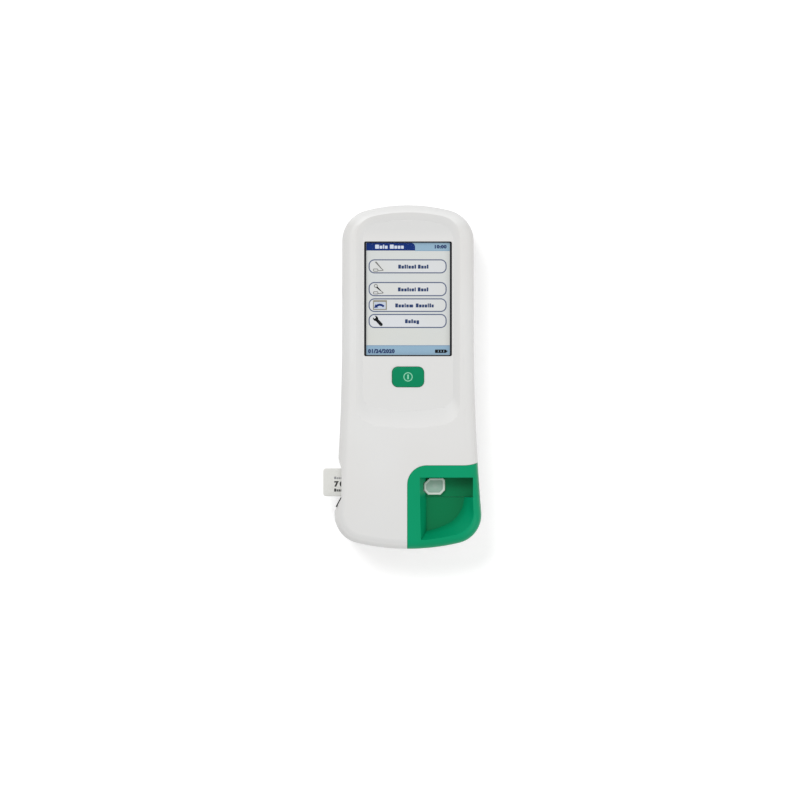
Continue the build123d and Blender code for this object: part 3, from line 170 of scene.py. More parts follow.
coverLook = {  # green ABS, the same grain with a little more sheen
    "colour": "#009366", "shade": "#008F61", "roughness": 0.4, "uneven": 0.05,
    "ior": 1.53, "specular": 0.1, "drift": 35.0, "grain": 0.8, "relief": 0.014,
    # painted shade: deep in the well, what faces up is painted a darker, purer green
    "paintedShade": "#007447", "paintedShadeLevels": (38.3, 43.0), "paintedShadeFacing": ((0.0, 1.0, 0.0, 1.0),),
}
buttonLook = {  # green ABS button, polished by fingers
    "colour": "#008158", "shade": "#007D54", "roughness": 0.34, "uneven": 0.06,
    "ior": 1.53, "specular": 0.1, "drift": 8.0, "grain": 0.6, "relief": 0.006,
}
blackLook = {  # glass-filled PBT, matt with faint flow marks
    "colour": "#0C0D0F", "shade": "#121315", "roughness": 0.5, "uneven": 0.08,
    "ior": 1.55, "specular": 0.12, "drift": 9.0, "grain": 0.7, "relief": 0.008,
}
frameLook = {  # black PC display surround, smoother than the housing
    "colour": "#0A0C12", "shade": "#0E1018", "roughness": 0.34, "uneven": 0.04,
    "ior": 1.58, "specular": 0.1, "drift": 12.0, "grain": 0.6, "relief": 0.003,
}
ivoryLook = {  # liquid crystal polymer of board connectors, creamy and dull
    "colour": "#D9D0B8", "shade": "#CFC5AA", "roughness": 0.45, "uneven": 0.06,
    "ior": 1.6, "drift": 6.0, "grain": 0.6, "relief": 0.005,
}
chipShellLook = {  # off-white ABS shell of the code chip
    "colour": "#E2E2DE", "shade": "#DDDDD8", "roughness": 0.4, "uneven": 0.05,
    "ior": 1.53, "drift": 10.0, "grain": 0.7, "relief": 0.005,
}
stripLook = {  # polystyrene of the test strip, thin enough to look slightly grey green in its dish
    "colour": "#CDD6CE", "shade": "#C4CFC6", "roughness": 0.34, "uneven": 0.05,
    "ior": 1.59, "drift": 4.0, "grain": 0.5, "relief": 0.004,
}
backlightLook = {  # white PC light tray
    "colour": "#E6E8E8", "shade": "#DFE1E1", "roughness": 0.38, "uneven": 0.05,
    "ior": 1.58, "drift": 20.0, "grain": 0.8, "relief": 0.004,
}
chipEpoxyLook = {  # moulded chip bodies, slightly dusty black
    "colour": "#1B1C1E", "shade": "#242527", "roughness": 0.6, "uneven": 0.06,
    "ior": 1.55, "drift": 5.0, "grain": 0.5, "relief": 0.006,
}
darkAcrylicLook = {  # infrared filter: nearly black, deep red in strong light
    "colour": "#16080C", "shade": "#1D0A10", "roughness": 0.12, "uneven": 0.03,
    "ior": 1.49, "drift": 6.0, "grain": 1.2, "relief": 0.001,
}
dress(mouldedPlastic("mouldedWhiteAbs", housingLook),
      "front_housing", "rear_housing", "battery_cover")
dress(mouldedPlastic("mouldedGreenAbs", coverLook), "strip_cover", "strip_tray")
dress(mouldedPlastic("polishedGreenAbs", buttonLook), "power_button")
dress(mouldedPlastic("mattBlackPbt", blackLook),
      "power_switch", "beeper", "cell_holder", "chip_slot_bezel", "chip_socket",
      "optics_housing", "scanner_module", "power_jack", "dock_block")
dress(mouldedPlastic("satinBlackPc", frameLook), "display_frame")
dress(mouldedPlastic("ivoryLcp", ivoryLook), "board_connectors")
dress(mouldedPlastic("mouldedOffWhiteAbs", chipShellLook), "code_chip")
dress(mouldedPlastic("greyWhitePolystyrene", stripLook), "test_strip")
dress(mouldedPlastic("whiteReflectorPc", backlightLook), "backlight_unit")
dress(mouldedPlastic("blackEpoxyMould", chipEpoxyLook), "board_chips")
dress(mouldedPlastic("darkRedTintedAcrylic", darkAcrylicLook),
      "scanner_window", "ir_window", "ir_transceiver")
print("plastics made")


def texturedSurface(name, look):
    # one texture gives shade, gloss and relief: cells, fibres, wrinkles or a metal's lay
    material, tree, shader = startMaterial(name, look)
    place = addNode(tree, "ShaderNodeTexCoord").outputs["Object"]
    if "stretch" in look:
        place = addNode(tree, "ShaderNodeMapping", {
            "Vector": place, "Scale": look["stretch"]}).outputs[0]
    texture = addNode(tree, "ShaderNodeTexNoise", {
        "Vector": place, "Scale": 1 / (look["texture"] * mm),
        "Detail": look["detail"]}).outputs["Fac"]
    finishSurface(tree, shader, look, texture, texture)
    return material


gasketFoam = texturedSurface("openCellPuFoam", {  # dark cut foam, open cells
    "colour": "#26272A", "shade": "#3A3B3F", "roughness": 0.9, "uneven": 0.05,
    "texture": 0.6, "detail": 4.0, "relief": 0.12})
footRubber = texturedSurface("greyElastomer", {  # moulded thermoplastic rubber, dull
    "colour": "#7C7E80", "shade": "#737577", "roughness": 0.78, "uneven": 0.05,
    "texture": 0.7, "detail": 4.0, "relief": 0.02})
stripFleece = texturedSurface("glassFibreFleece", {  # white fibres that mostly run along the strip
    "colour": "#E9E4D8", "shade": "#D3CCBC", "roughness": 0.92, "uneven": 0.05,
    "texture": 0.5, "detail": 4.0, "relief": 0.05, "stretch": (0.25, 1, 1)})
batteryWrap = texturedSurface("blackPvcShrinkWrap", {  # heat-shrunk film, soft wrinkles across it
    "colour": "#23262B", "shade": "#2C3036", "roughness": 0.32, "uneven": 0.05,
    "texture": 7.0, "detail": 4.0, "relief": 0.15, "stretch": (1, 3, 1)})
sheetSteel = texturedSurface("zincCoatedSheetSteel", {  # grey zinc with cloudy spangle
    "colour": "#A9ADB0", "shade": "#94999D", "roughness": 0.42, "uneven": 0.08, "metallic": 1.0,
    "texture": 5.0, "detail": 3.0, "relief": 0.004})
goldPlate = texturedSurface("goldPlatedBrass", {  # thin gold over nickel, bright
    "colour": "#E0B75A", "shade": "#D3A94E", "roughness": 0.22, "uneven": 0.05, "metallic": 1.0,
    "texture": 0.8, "detail": 3.0, "relief": 0.002})
cellNickel = texturedSurface("nickelPlatedCan", {  # spun face of the cell's can
    "colour": "#C4C5C2", "shade": "#B6B7B3", "roughness": 0.25, "uneven": 0.06, "metallic": 1.0,
    "texture": 0.6, "detail": 3.0, "relief": 0.003, "stretch": (1, 8, 1)})
screwZinc = texturedSurface("brightZincScrew", {  # blue-white passivated zinc
    "colour": "#B7BCC1", "shade": "#A6ABB1", "roughness": 0.3, "uneven": 0.07, "metallic": 1.0,
    "texture": 0.7, "detail": 3.0, "relief": 0.004})
heaterAluminium = texturedSurface("milledAluminium", {  # cutter marks along the plate
    "colour": "#C9CBCC", "shade": "#BABCBE", "roughness": 0.33, "uneven": 0.08, "metallic": 1.0,
    "texture": 0.7, "detail": 3.0, "relief": 0.004, "stretch": (0.05, 1, 1)})
dress(gasketFoam, "display_gasket")
dress(footRubber, "rubber_feet")
dress(stripFleece, "strip_pads")
dress(batteryWrap, "battery_pack")
dress(sheetSteel, "lcd_bracket")
dress(goldPlate, "display_standoffs", "chip_contacts", "jack_pin", "dock_contacts",
      "battery_contacts")
dress(cellNickel, "backup_cell")
dress(screwZinc, "housing_screws", "board_screws")
dress(heaterAluminium, "heater_plate")
print("soft sheets and metals made")


def stripedSheet(name, look):
    # parallel copper lines seen through a coating, one pitch apart, with narrow soft edges
    material, tree, shader = startMaterial(name, look)
    place = addNode(tree, "ShaderNodeTexCoord").outputs["Object"]
    waveScale = math.tau / 20  # gives a wave texture one line to each unit
    lines = addNode(tree, "ShaderNodeTexWave", {
        "Vector": place, "Scale": waveScale / (look["pitch"] * mm),
        "Distortion": look["wander"], "Detail": 1.0, "Detail Scale": 0.3},
        bands_direction="X", wave_profile="SIN").outputs["Fac"]
    edge = addNode(tree, "ShaderNodeMapRange", (lines, *look["edge"], 0, 1)).outputs[0]
    finishSurface(tree, shader, look, edge, edge, (0, 1))
    return material


boardLaminate = stripedSheet("greenSolderMaskFr4", {  # lacquer over copper: traces stand proud
    "colour": "#12543A", "shade": "#1C6A49", "roughness": 0.34, "uneven": 0.04,
    "pitch": 1.6, "wander": 2.5, "edge": (0.42, 0.58), "relief": 0.03})
flexPolyimide = stripedSheet("amberPolyimide", {  # film with fine copper conductors under it
    "colour": "#9A5A1C", "shade": "#B9752C", "roughness": 0.32, "uneven": 0.04,
    "pitch": 1.0, "wander": 0.0, "edge": (0.42, 0.58), "relief": 0.01})
dress(boardLaminate, "main_board", "reader_board", "optics_board", "illumination_board")
dress(flexPolyimide, "lcd_flex")
print("boards made")


def clearPane(name, look):
    # a thin pane: what is behind shows through, and only the gloss of its faces is added
    material, tree, shader = startMaterial(name, look)
    place = addNode(tree, "ShaderNodeTexCoord").outputs["Object"]
    place = addNode(tree, "ShaderNodeMapping", {
        "Vector": place, "Scale": look["stretch"]}).outputs[0]
    smears = addNode(tree, "ShaderNodeTexNoise", {
        "Vector": place, "Scale": 1 / (look["smear"] * mm), "Detail": 3.0}).outputs["Fac"]
    gloss = (look["roughness"], look["roughness"] + look["uneven"])
    rough = addNode(tree, "ShaderNodeMapRange", (smears, *noiseSpan, *gloss)).outputs[0]
    tree.links.new(rough, shader.inputs["Roughness"])
    through = addNode(tree, "ShaderNodeBsdfTransparent", (toLinear(look["through"]),)).outputs[0]
    slant = addNode(tree, "ShaderNodeLayerWeight", {"Blend": 0.5}).outputs["Facing"]
    rise = addNode(tree, "ShaderNodeMath", (slant, look["rise"]), operation="POWER").outputs[0]
    share = addNode(tree, "ShaderNodeMapRange", (rise, 0, 1, look["haze"], 1)).outputs[0]
    mixed = addNode(tree, "ShaderNodeMixShader", (share, through, shader.outputs[0]))
    tree.links.new(mixed.outputs[0], tree.nodes["Material Output"].inputs["Surface"])
    return material


touchGlass = clearPane("chemicallyHardenedGlass", {  # clear cover glass with faint finger smears
    "colour": "#0C0E10", "roughness": 0.05, "uneven": 0.08, "ior": 1.51, "smear": 14.0,
    "stretch": (1, 0.6, 1), "through": "#FBFDFD", "haze": 0.04,
    "rise": 5.0})  # like real glass, the gloss rises steeply at a slant
lensAcrylic = clearPane("polishedAcrylic", {  # clear PMMA, edges a touch brighter
    "colour": "#DDE6E8", "roughness": 0.06, "uneven": 0.05, "ior": 1.49, "smear": 3.0,
    "stretch": (1, 0.6, 1), "through": "#F2F8F8", "haze": 0.14, "rise": 5.0})
dress(touchGlass, "touch_glass")
dress(lensAcrylic, "optics_lens", "reading_window")

lcdLook = {
    "pixel": 0.246,  # 240 pixels across 59 mm
    "gap": 0.03,  # between the pixels
    "gridShade": 0.06,  # how much the gaps darken
    "lit": 0.45,  # share of each colour that is the backlight's
    "specular": 0.08,  # bonded under the glass, so it has hardly any gloss of its own
    "drift": 40.0,  # the light tray is never quite even
}


def lcdColour(name, colour, warm=None):
    # what a backlit LCD shows: part reflected, part lit, with the pixel grid over it
    material, tree, shader = startMaterial(
        name, {"colour": colour, "roughness": 0.35, "specular": lcdLook["specular"]})
    place = addNode(tree, "ShaderNodeTexCoord").outputs["Object"]
    grid = addNode(tree, "ShaderNodeTexBrick", {
        "Vector": place, "Scale": 1.0, "Color1": (1, 1, 1, 1), "Color2": (1, 1, 1, 1),
        "Mortar": (1 - lcdLook["gridShade"],) * 3 + (1,), "Mortar Size": lcdLook["gap"] * mm,
        "Mortar Smooth": 0.1, "Bias": 0.0, "Brick Width": lcdLook["pixel"] * mm,
        "Row Height": lcdLook["pixel"] * mm}, offset=0.0, squash=1.0).outputs["Color"]
    drift = addNode(tree, "ShaderNodeTexNoise", {
        "Vector": place, "Scale": 1 / (lcdLook["drift"] * mm), "Detail": 1.0}).outputs["Fac"]
    share = addNode(tree, "ShaderNodeMapRange", (drift, *noiseSpan, 0, 1)).outputs[0]
    tones = {0: share, 6: toLinear(colour), 7: toLinear(warm or colour)}
    shown = addNode(tree, "ShaderNodeMix", tones, data_type="RGBA").outputs[2]
    tint = addNode(tree, "ShaderNodeMix", {0: 1.0, 6: shown, 7: grid},
                   data_type="RGBA", blend_type="MULTIPLY").outputs[2]
    unlit = addNode(tree, "ShaderNodeMix", {0: lcdLook["lit"], 6: tint, 7: (0, 0, 0, 1)},
                    data_type="RGBA").outputs[2]
    tree.links.new(unlit, shader.inputs["Base Color"])
    tree.links.new(tint, shader.inputs["Emission Color"])
    shader.inputs["Emission Strength"].default_value = lcdLook["lit"]
    return material


screenGround = lcdColour("lcdPaleGrey", "#E2E1DC", "#DFE0E0")
screenSky = lcdColour("lcdLightBlue", "#99B7CF", "#9FBDD1")
screenSkyEdge = lcdColour("lcdBlueLine", "#7F9DBB")
screenNavy = lcdColour("lcdNavy", "#17367F", "#132F74")
screenInk = lcdColour("lcdDarkNavy", "#33446E")
screenSlate = lcdColour("lcdSlateLine", "#5F6986")
screenLilac = lcdColour("lcdPaleLilac", "#E6E6EC", "#E3E2E0")
screenWhite = lcdColour("lcdWhite", "#DCE2F2")
screenHaze = lcdColour("lcdHazeBlue", "#C4CEE2", "#D6DAE4")
screenGrey = lcdColour("lcdGrey", "#777878", "#7E7C78")
screenBeige = lcdColour("lcdBeigeGrey", "#8F8D86", "#A0967E")
screenBlack = lcdColour("lcdBlack", "#0E1013")
dress(screenGround, "lcd_panel")
print("panes and screen colours made")


def roundedCorners(left, low, right, high, radii, steps=10):
    # corner radii run from the low left one, against the clock; a radius of 0 is a sharp corner
    centres = [(left, low, 1, 1), (right, low, -1, 1), (right, high, -1, -1), (left, high, 1, -1)]
    points = []
    for (x, y, inX, inY), start, radius in zip(centres, (180, 270, 0, 90), radii):
        if radius == 0:
            points.append((x, y))
            continue
        for i in range(steps + 1):
            angle = math.radians(start + 90 * i / steps)
            points.append((x + inX * radius + radius * math.cos(angle),
                           y + inY * radius + radius * math.sin(angle)))
    return points


def roundedBox(left, low, right, high, radius=0.0):
    return roundedCorners(left, low, right, high, (radius,) * 4)


def circlePoints(x, y, radius, count=48):
    turns = [math.tau * i / count for i in range(count)]
    return [(x + radius * math.cos(turn), y + radius * math.sin(turn)) for turn in turns]


def linePoints(start, end, startWidth, endWidth):
    # a straight stroke that may taper
    along = Vector((end[0] - start[0], end[1] - start[1])).normalized()
    side = Vector((-along.y, along.x))
    first, last = (Vector(point) for point in (start, end))
    corners = (first - side * startWidth / 2, last - side * endWidth / 2,
               last + side * endWidth / 2, first + side * startWidth / 2)
    return [tuple(corner) for corner in corners]


def addPlate(form, outline, low, high, hole=None):
    # outline in millimetres, against the clock; a hole has as many points as the outline
    def ring(points, z):
        return [form.verts.new((x * mm, y * mm, z * mm)) for x, y in points]

    def wall(lowRing, highRing):
        for i in range(len(lowRing)):
            j = (i + 1) % len(lowRing)
            form.faces.new((lowRing[i], lowRing[j], highRing[j], highRing[i]))

    lowOuter, highOuter = ring(outline, low), ring(outline, high)
    wall(lowOuter, highOuter)
    if hole is None:
        form.faces.new(highOuter)
        form.faces.new(lowOuter[::-1])
        return
    lowInner, highInner = ring(hole, low), ring(hole, high)
    wall(lowInner[::-1], highInner[::-1])
    wall(highOuter, highInner)
    wall(lowInner, lowOuter)


def finishPiece(name, form, material, body):
    bmesh.ops.recalc_face_normals(form, faces=form.faces)
    mesh = bpy.data.meshes.new(name)
    form.to_mesh(mesh)
    form.free()
    mesh.materials.append(material)
    piece = bpy.data.objects.new(name, mesh)
    bpy.context.collection.objects.link(piece)
    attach(piece, body)
    return piece


def addNumerals(form, text, box, low, high, weight, space):
    # plain numerals filled into a box; weight makes them bolder, space sets them wider apart
    curve = bpy.data.curves.new("numerals", "FONT")
    curve.body = text
    curve.space_character = space
    curve.extrude = 0.5  # any thickness will do, the box sets the real one
    curve.offset = weight
    maker = bpy.data.objects.new("numerals", curve)
    bpy.context.collection.objects.link(maker)
    bpy.context.view_layer.update()
    mesh = bpy.data.meshes.new_from_object(maker)
    xs = [v.co.x for v in mesh.vertices]
    ys = [v.co.y for v in mesh.vertices]
    left, bottom, right, top = box
    for vertex in mesh.vertices:
        x = left + (vertex.co.x - min(xs)) / (max(xs) - min(xs)) * (right - left)
        y = bottom + (vertex.co.y - min(ys)) / (max(ys) - min(ys)) * (top - bottom)
        vertex.co = (x * mm, y * mm, (high if vertex.co.z > 0 else low) * mm)
    form.from_mesh(mesh)
    bpy.data.objects.remove(maker)
    bpy.data.meshes.remove(mesh)


glassLow, glassHigh = (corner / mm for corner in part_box("touch_glass"))
screenTop, screenBottom = glassHigh.y, glassLow.y
screenSide = glassHigh.x
menu = {  # the menu on the screen, in millimetres from the middle and from its upper edge
    "lift": 0.09, "step": 0.06, "thick": 0.036,  # each layer over the one below, under the glass
    "headerHeight": 5.4, "headerLine": 0.3, "tabRight": 5.0, "tabCorners": (0, 0, 2.9, 0.8),
    "titleWords": ((-23.2, "mxlx"), (-12.8, "mxxx")), "titleDown": 4.1, "titleSize": (1.1, 0.96),
    "clock": "10:00", "clockBox": (18.8, 27.2), "clockDown": (1.4, 4.0),
    "buttonLeft": -27.8, "buttonRight": 27.2, "buttonCorner": 4.1, "buttonLine": 0.75,
    "buttonsDown": ((11.6, 21.5), (27.6, 37.6), (39.1, 48.7), (50.1, 60.0)),
    "labels": (((-6.9, "cxtlxxt"), (7.0, "cxst")), ((-7.1, "cxxtrxl"), (6.9, "cxst")),
               ((-9.0, "cxxlxw"), (5.5, "cxsxlts")), ((-2.1, "cxtxg"),)),
    "labelSize": (1.0, 0.93),  # width and height of the letters, as a share of the usual ones
    "labelDrop": 0.2,  # how far the labels sit below a button's middle
    "letterWidths": {"m": 2.5, "w": 2.7, "c": 1.9, "x": 1.75, "s": 1.45, "g": 1.8,
                     "t": 1.15, "r": 1.15, "l": 0.85},
    "letterGap": 0.38, "letterCorner": 0.3, "capHeight": 3.0, "lowHeight": 2.2, "descent": 0.7,
    "numeralWeight": 0.075, "numeralSpace": 1.15,
    "footerHeight": 6.3, "footerLine": 0.5,
    "date": "01/24/2020", "dateBox": (-28.2, -9.4), "dateUp": (1.2, 4.2),
}


def layer(number):
    low = glassLow.z + menu["lift"] + number * menu["step"]
    return low, low + menu["thick"]


def addWord(form, left, letters, base, low, high, size):
    # a word as plain blocks: only the pace and height of letters, no lettering
    wide, tall = size
    for letter in letters:
        width = menu["letterWidths"][letter] * wide
        top = base + tall * (menu["lowHeight"] if letter in "xsrgw" else menu["capHeight"])
        bottom = base - menu["descent"] * tall if letter == "g" else base
        block = roundedBox(left, bottom, left + width, top, menu["letterCorner"])
        addPlate(form, block, low, high)
        left += width + menu["letterGap"] * wide


def screenPiece(name, form, material):
    return finishPiece(name, form, material, "housing")


form = bmesh.new()
addPlate(form, roundedBox(-screenSide, screenBottom, screenSide, screenTop), *layer(-1))
screenPiece("screen_ground", form, screenGround)

headerLow = screenTop - menu["headerHeight"]
footerHigh = screenBottom + menu["footerHeight"]

form = bmesh.new()
addPlate(form, roundedBox(-screenSide, headerLow, screenSide, screenTop), *layer(0))
addPlate(form, roundedBox(-screenSide, screenBottom, screenSide, footerHigh), *layer(0))
screenPiece("screen_bars", form, screenSky)

form = bmesh.new()
footerLine = roundedBox(-screenSide, footerHigh, screenSide, footerHigh + menu["footerLine"])
headerLine = roundedBox(menu["tabRight"], headerLow - menu["headerLine"], screenSide, headerLow)
addPlate(form, footerLine, *layer(0))
addPlate(form, headerLine, *layer(0))
screenPiece("screen_bar_lines", form, screenSkyEdge)

form = bmesh.new()
tab = roundedCorners(-screenSide, headerLow, menu["tabRight"], screenTop, menu["tabCorners"])
addPlate(form, tab, *layer(1))
screenPiece("screen_title_tab", form, screenNavy)

form = bmesh.new()
for left, letters in menu["titleWords"]:
    addWord(form, left, letters, screenTop - menu["titleDown"], *layer(2), menu["titleSize"])
screenPiece("screen_title_words", form, screenWhite)

form = bmesh.new()
numeralStyle = (menu["numeralWeight"], menu["numeralSpace"])
left, right = menu["clockBox"]
top, bottom = (screenTop - down for down in menu["clockDown"])
addNumerals(form, menu["clock"], (left, bottom, right, top), *layer(1), *numeralStyle)
left, right = menu["dateBox"]
bottom, top = (screenBottom + up for up in menu["dateUp"])
addNumerals(form, menu["date"], (left, bottom, right, top), *layer(1), *numeralStyle)
screenPiece("screen_numerals", form, screenInk)

fills, lines, words = bmesh.new(), bmesh.new(), bmesh.new()
left, right = menu["buttonLeft"], menu["buttonRight"]
corner, line = menu["buttonCorner"], menu["buttonLine"]
for (top, bottom), label in zip(menu["buttonsDown"], menu["labels"]):
    high, low = screenTop - top, screenTop - bottom
    outer = roundedBox(left, low, right, high, corner)
    inner = roundedBox(left + line, low + line, right - line, high - line, corner - line)
    addPlate(fills, inner, *layer(0))
    addPlate(lines, outer, *layer(1), hole=inner)
    base = (high + low) / 2 - menu["capHeight"] / 2 * menu["labelSize"][1] - menu["labelDrop"]
    for start, letters in label:
        addWord(words, start, letters, base, *layer(1), menu["labelSize"])
screenPiece("screen_button_fills", fills, screenLilac)
screenPiece("screen_button_lines", lines, screenSlate)
screenPiece("screen_button_words", words, screenInk)
print("screen menu made")

icons = {  # small pictures, in millimetres from the screen's middle and from their button's middle
    "line": 0.5, "leastCorner": 0.1, "tools": (0, 1), "panelButton": 2, "wrenchButton": 3,
    "strip": (-24.6, -3.7, -21.0, -1.6), "stripCorner": 0.7,
    "stripTail": ((-21.0, -3.2), (-17.4, -2.7), (-18.8, -1.4)),
    "pipette": ((-22.9, 3.3), (-18.8, -1.5)), "pipetteGap": 0.8,
    "bulb": (-22.7, 2.3), "bulbRadius": 1.3,
    "dropper": ((-22.0, 1.4), (-19.0, -1.3)), "dropperWidths": (1.2, 0.5),
    "wrench": ((-24.7, 2.6), (-23.6, 1.5), (-22.6, 2.4), (-23.5, 3.9), (-21.9, 3.3),
               (-21.0, 2.0), (-21.1, 1.3), (-18.0, -1.9), (-17.8, -2.9), (-18.6, -3.6),
               (-19.7, -3.4), (-22.8, 0.0), (-23.6, 0.1), (-24.6, 1.1)),
    "panel": (-24.7, -3.4, -14.9, 3.5), "window": (-24.0, -2.7, -15.7, 2.3), "panelCorner": 0.4,
    "arc": (-19.9, -3.4), "arcOuter": 4.4, "arcInner": 2.9, "arcSpan": (40, 140, 10),
    "arrowHead": ((-23.9, -1.9), (-21.2, -1.7), (-22.9, 0.8)),
}


def onButton(button, point):
    # a point of an icon, from the middle of its button
    top, bottom = menu["buttonsDown"][button]
    return point[0], screenTop - (top + bottom) / 2 + point[1]


def iconBox(button, box, corner, shrink=0.0):
    left, low = onButton(button, box[:2])
    right, high = onButton(button, box[2:])
    inside = (left + shrink, low + shrink, right - shrink, high - shrink)
    return roundedBox(*inside, max(corner - shrink, icons["leastCorner"]))


def iconLine(button, start, end, startWidth=icons["line"], endWidth=icons["line"]):
    return linePoints(onButton(button, start), onButton(button, end), startWidth, endWidth)


form = bmesh.new()
for button in icons["tools"]:  # a test strip lying under the tool that drips on it
    addPlate(form, iconBox(button, icons["strip"], icons["stripCorner"]), *layer(1),
             hole=iconBox(button, icons["strip"], icons["stripCorner"], icons["line"]))
    low, corner, high = icons["stripTail"]
    addPlate(form, iconLine(button, low, corner), *layer(1))
    addPlate(form, iconLine(button, corner, high), *layer(1))
high, low = icons["pipette"]
for side in (-0.5, 0.5):  # the pipette's two thin walls meet at its tip
    start = (high[0] + side * icons["pipetteGap"], high[1])
    addPlate(form, iconLine(icons["tools"][0], start, low), *layer(1))
bulb = onButton(icons["tools"][1], icons["bulb"])
addPlate(form, circlePoints(*bulb, icons["bulbRadius"]), *layer(1),
         hole=circlePoints(*bulb, icons["bulbRadius"] - icons["line"]))
screenPiece("screen_tool_icons", form, screenGrey)

form = bmesh.new()
addPlate(form, iconLine(icons["tools"][1], *icons["dropper"], *icons["dropperWidths"]), *layer(2))
wrench = [onButton(icons["wrenchButton"], point) for point in icons["wrench"]]
addPlate(form, wrench[::-1], *layer(2))
screenPiece("screen_dark_icons", form, screenBlack)

panel, window = (iconBox(icons["panelButton"], icons[key], icons["panelCorner"])
                 for key in ("panel", "window"))
form = bmesh.new()
addPlate(form, panel, *layer(1), hole=window)
screenPiece("screen_review_panel", form, screenBeige)

form = bmesh.new()
addPlate(form, window, *layer(1))
screenPiece("screen_review_window", form, screenHaze)

form = bmesh.new()
middle = Vector(onButton(icons["panelButton"], icons["arc"]))
turns = [math.radians(angle) for angle in range(*icons["arcSpan"])]
outer, inner = (
    [tuple(middle + radius * Vector((math.cos(turn), math.sin(turn)))) for turn in turns]
    for radius in (icons["arcOuter"], icons["arcInner"]))
addPlate(form, outer + inner[::-1], *layer(2))
addPlate(form, [onButton(icons["panelButton"], point) for point in icons["arrowHead"]], *layer(2))
screenPiece("screen_review_arrow", form, screenNavy)

batterySign = {  # in millimetres from the screen's middle and from its lower edge
    "across": (19.0, 27.8), "up": (1.4, 3.8), "corner": 0.3, "nib": 0.8, "nibInset": 0.7,
    "gaps": (2.15, 4.05, 5.95), "gapWidth": 0.4, "gapInset": 0.5,
}
left, right = batterySign["across"]
bottom, top = (screenBottom + up for up in batterySign["up"])
nibLeft, inset = right - batterySign["nib"], batterySign["nibInset"]
form = bmesh.new()
addPlate(form, roundedBox(left, bottom, nibLeft, top, batterySign["corner"]), *layer(1))
addPlate(form, roundedBox(nibLeft, bottom + inset, right, top - inset), *layer(1))
screenPiece("screen_battery_sign", form, screenBlack)

form = bmesh.new()
inset = batterySign["gapInset"]
for start in batterySign["gaps"]:  # thin gaps between the charge bars
    end = start + batterySign["gapWidth"]
    gap = roundedBox(left + start, bottom + inset, left + end, top - inset)
    addPlate(form, gap, *layer(2))
screenPiece("screen_battery_gaps", form, screenSky)
print("screen icons made")


mintInk = texturedSurface("padPrintedMintInk", {  # thin pad print, slightly raised and matt
    "colour": "#86CBAA", "shade": "#7CC2A1", "roughness": 0.5, "uneven": 0.05,
    "texture": 0.6, "detail": 4.0, "relief": 0.004})
blackInk = texturedSurface("thermalPrintBlack", {  # printed by heat, matt and a little grey
    "colour": "#1A1A1B", "shade": "#262627", "roughness": 0.6, "uneven": 0.05,
    "texture": 0.5, "detail": 4.0, "relief": 0.003})
greyInk = texturedSurface("thermalPrintGrey", {  # the same print, thinly heated
    "colour": "#85868A", "shade": "#909194", "roughness": 0.6, "uneven": 0.05,
    "texture": 0.5, "detail": 4.0, "relief": 0.003})
labelPaper = texturedSurface("coatedLabelPaper", {  # smooth white stock, fibre just visible
    "colour": "#E3E3DF", "shade": "#DDDDD8", "roughness": 0.55, "uneven": 0.05,
    "texture": 0.9, "detail": 4.0, "relief": 0.006})
frostedFilm = texturedSurface("frostedPolyesterFilm", {  # thin green-grey film, slightly cloudy
    "colour": "#88A898", "shade": "#99AEA3", "roughness": 0.45, "uneven": 0.05,
    "texture": 3.5, "detail": 4.0, "relief": 0.01})

powerSign = {  # a ring with a bar, printed on the button
    "ring": 3.25, "line": 0.65, "barLength": 3.4, "barWidth": 1.1, "barCorner": 0.3, "ink": 0.03}
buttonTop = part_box("power_button")[1].z / mm
inkZ = (buttonTop, buttonTop + powerSign["ink"])
halfWidth, halfLength = powerSign["barWidth"] / 2, powerSign["barLength"] / 2
form = bmesh.new()
addPlate(form, circlePoints(0, 0, powerSign["ring"]), *inkZ,
         hole=circlePoints(0, 0, powerSign["ring"] - powerSign["line"]))
bar = roundedBox(-halfWidth, -halfLength, halfWidth, halfLength, powerSign["barCorner"])
addPlate(form, bar, *inkZ)
finishPiece("power_sign", form, mintInk, "power_button")

chipLabel = {  # in millimetres from the chip's outer end and upper edge; end is its place across
    "edge": 1.8, "corner": 0.8, "paper": 0.05, "ink": 0.02, "end": -46.0,
    "printStart": 7.8, "printMargin": 0.2,
    "number": "702", "numberDown": (9.0, 13.2), "numberWidth": 11.0,
    "numberWeight": 0.06, "numberSpace": 1.45,
    "rows": ((5.9, 1.7, "grey"), (14.3, 2.2, "black")),
    "blocks": (1.4, 1.0, 1.1, 0.9, 1.1), "blockGap": 0.3, "blockCorner": 0.2,
    "lowShare": 0.25,  # how much lower the blocks after the first one are
}
chipLow, chipHigh = (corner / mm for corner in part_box("code_chip"))
labelZ = chipHigh.z + chipLabel["paper"]
inkZ = (labelZ, labelZ + chipLabel["ink"])
edge = chipLabel["edge"]
form = bmesh.new()
paper = roundedBox(chipLow.x + edge, chipLow.y + edge, chipLabel["end"], chipHigh.y - edge,
                   chipLabel["corner"])
addPlate(form, paper, chipHigh.z, labelZ)
finishPiece("chip_label", form, labelPaper, "code_chip")
printLeft = chipLow.x + chipLabel["printStart"]
printRight = chipLabel["end"] - chipLabel["printMargin"]
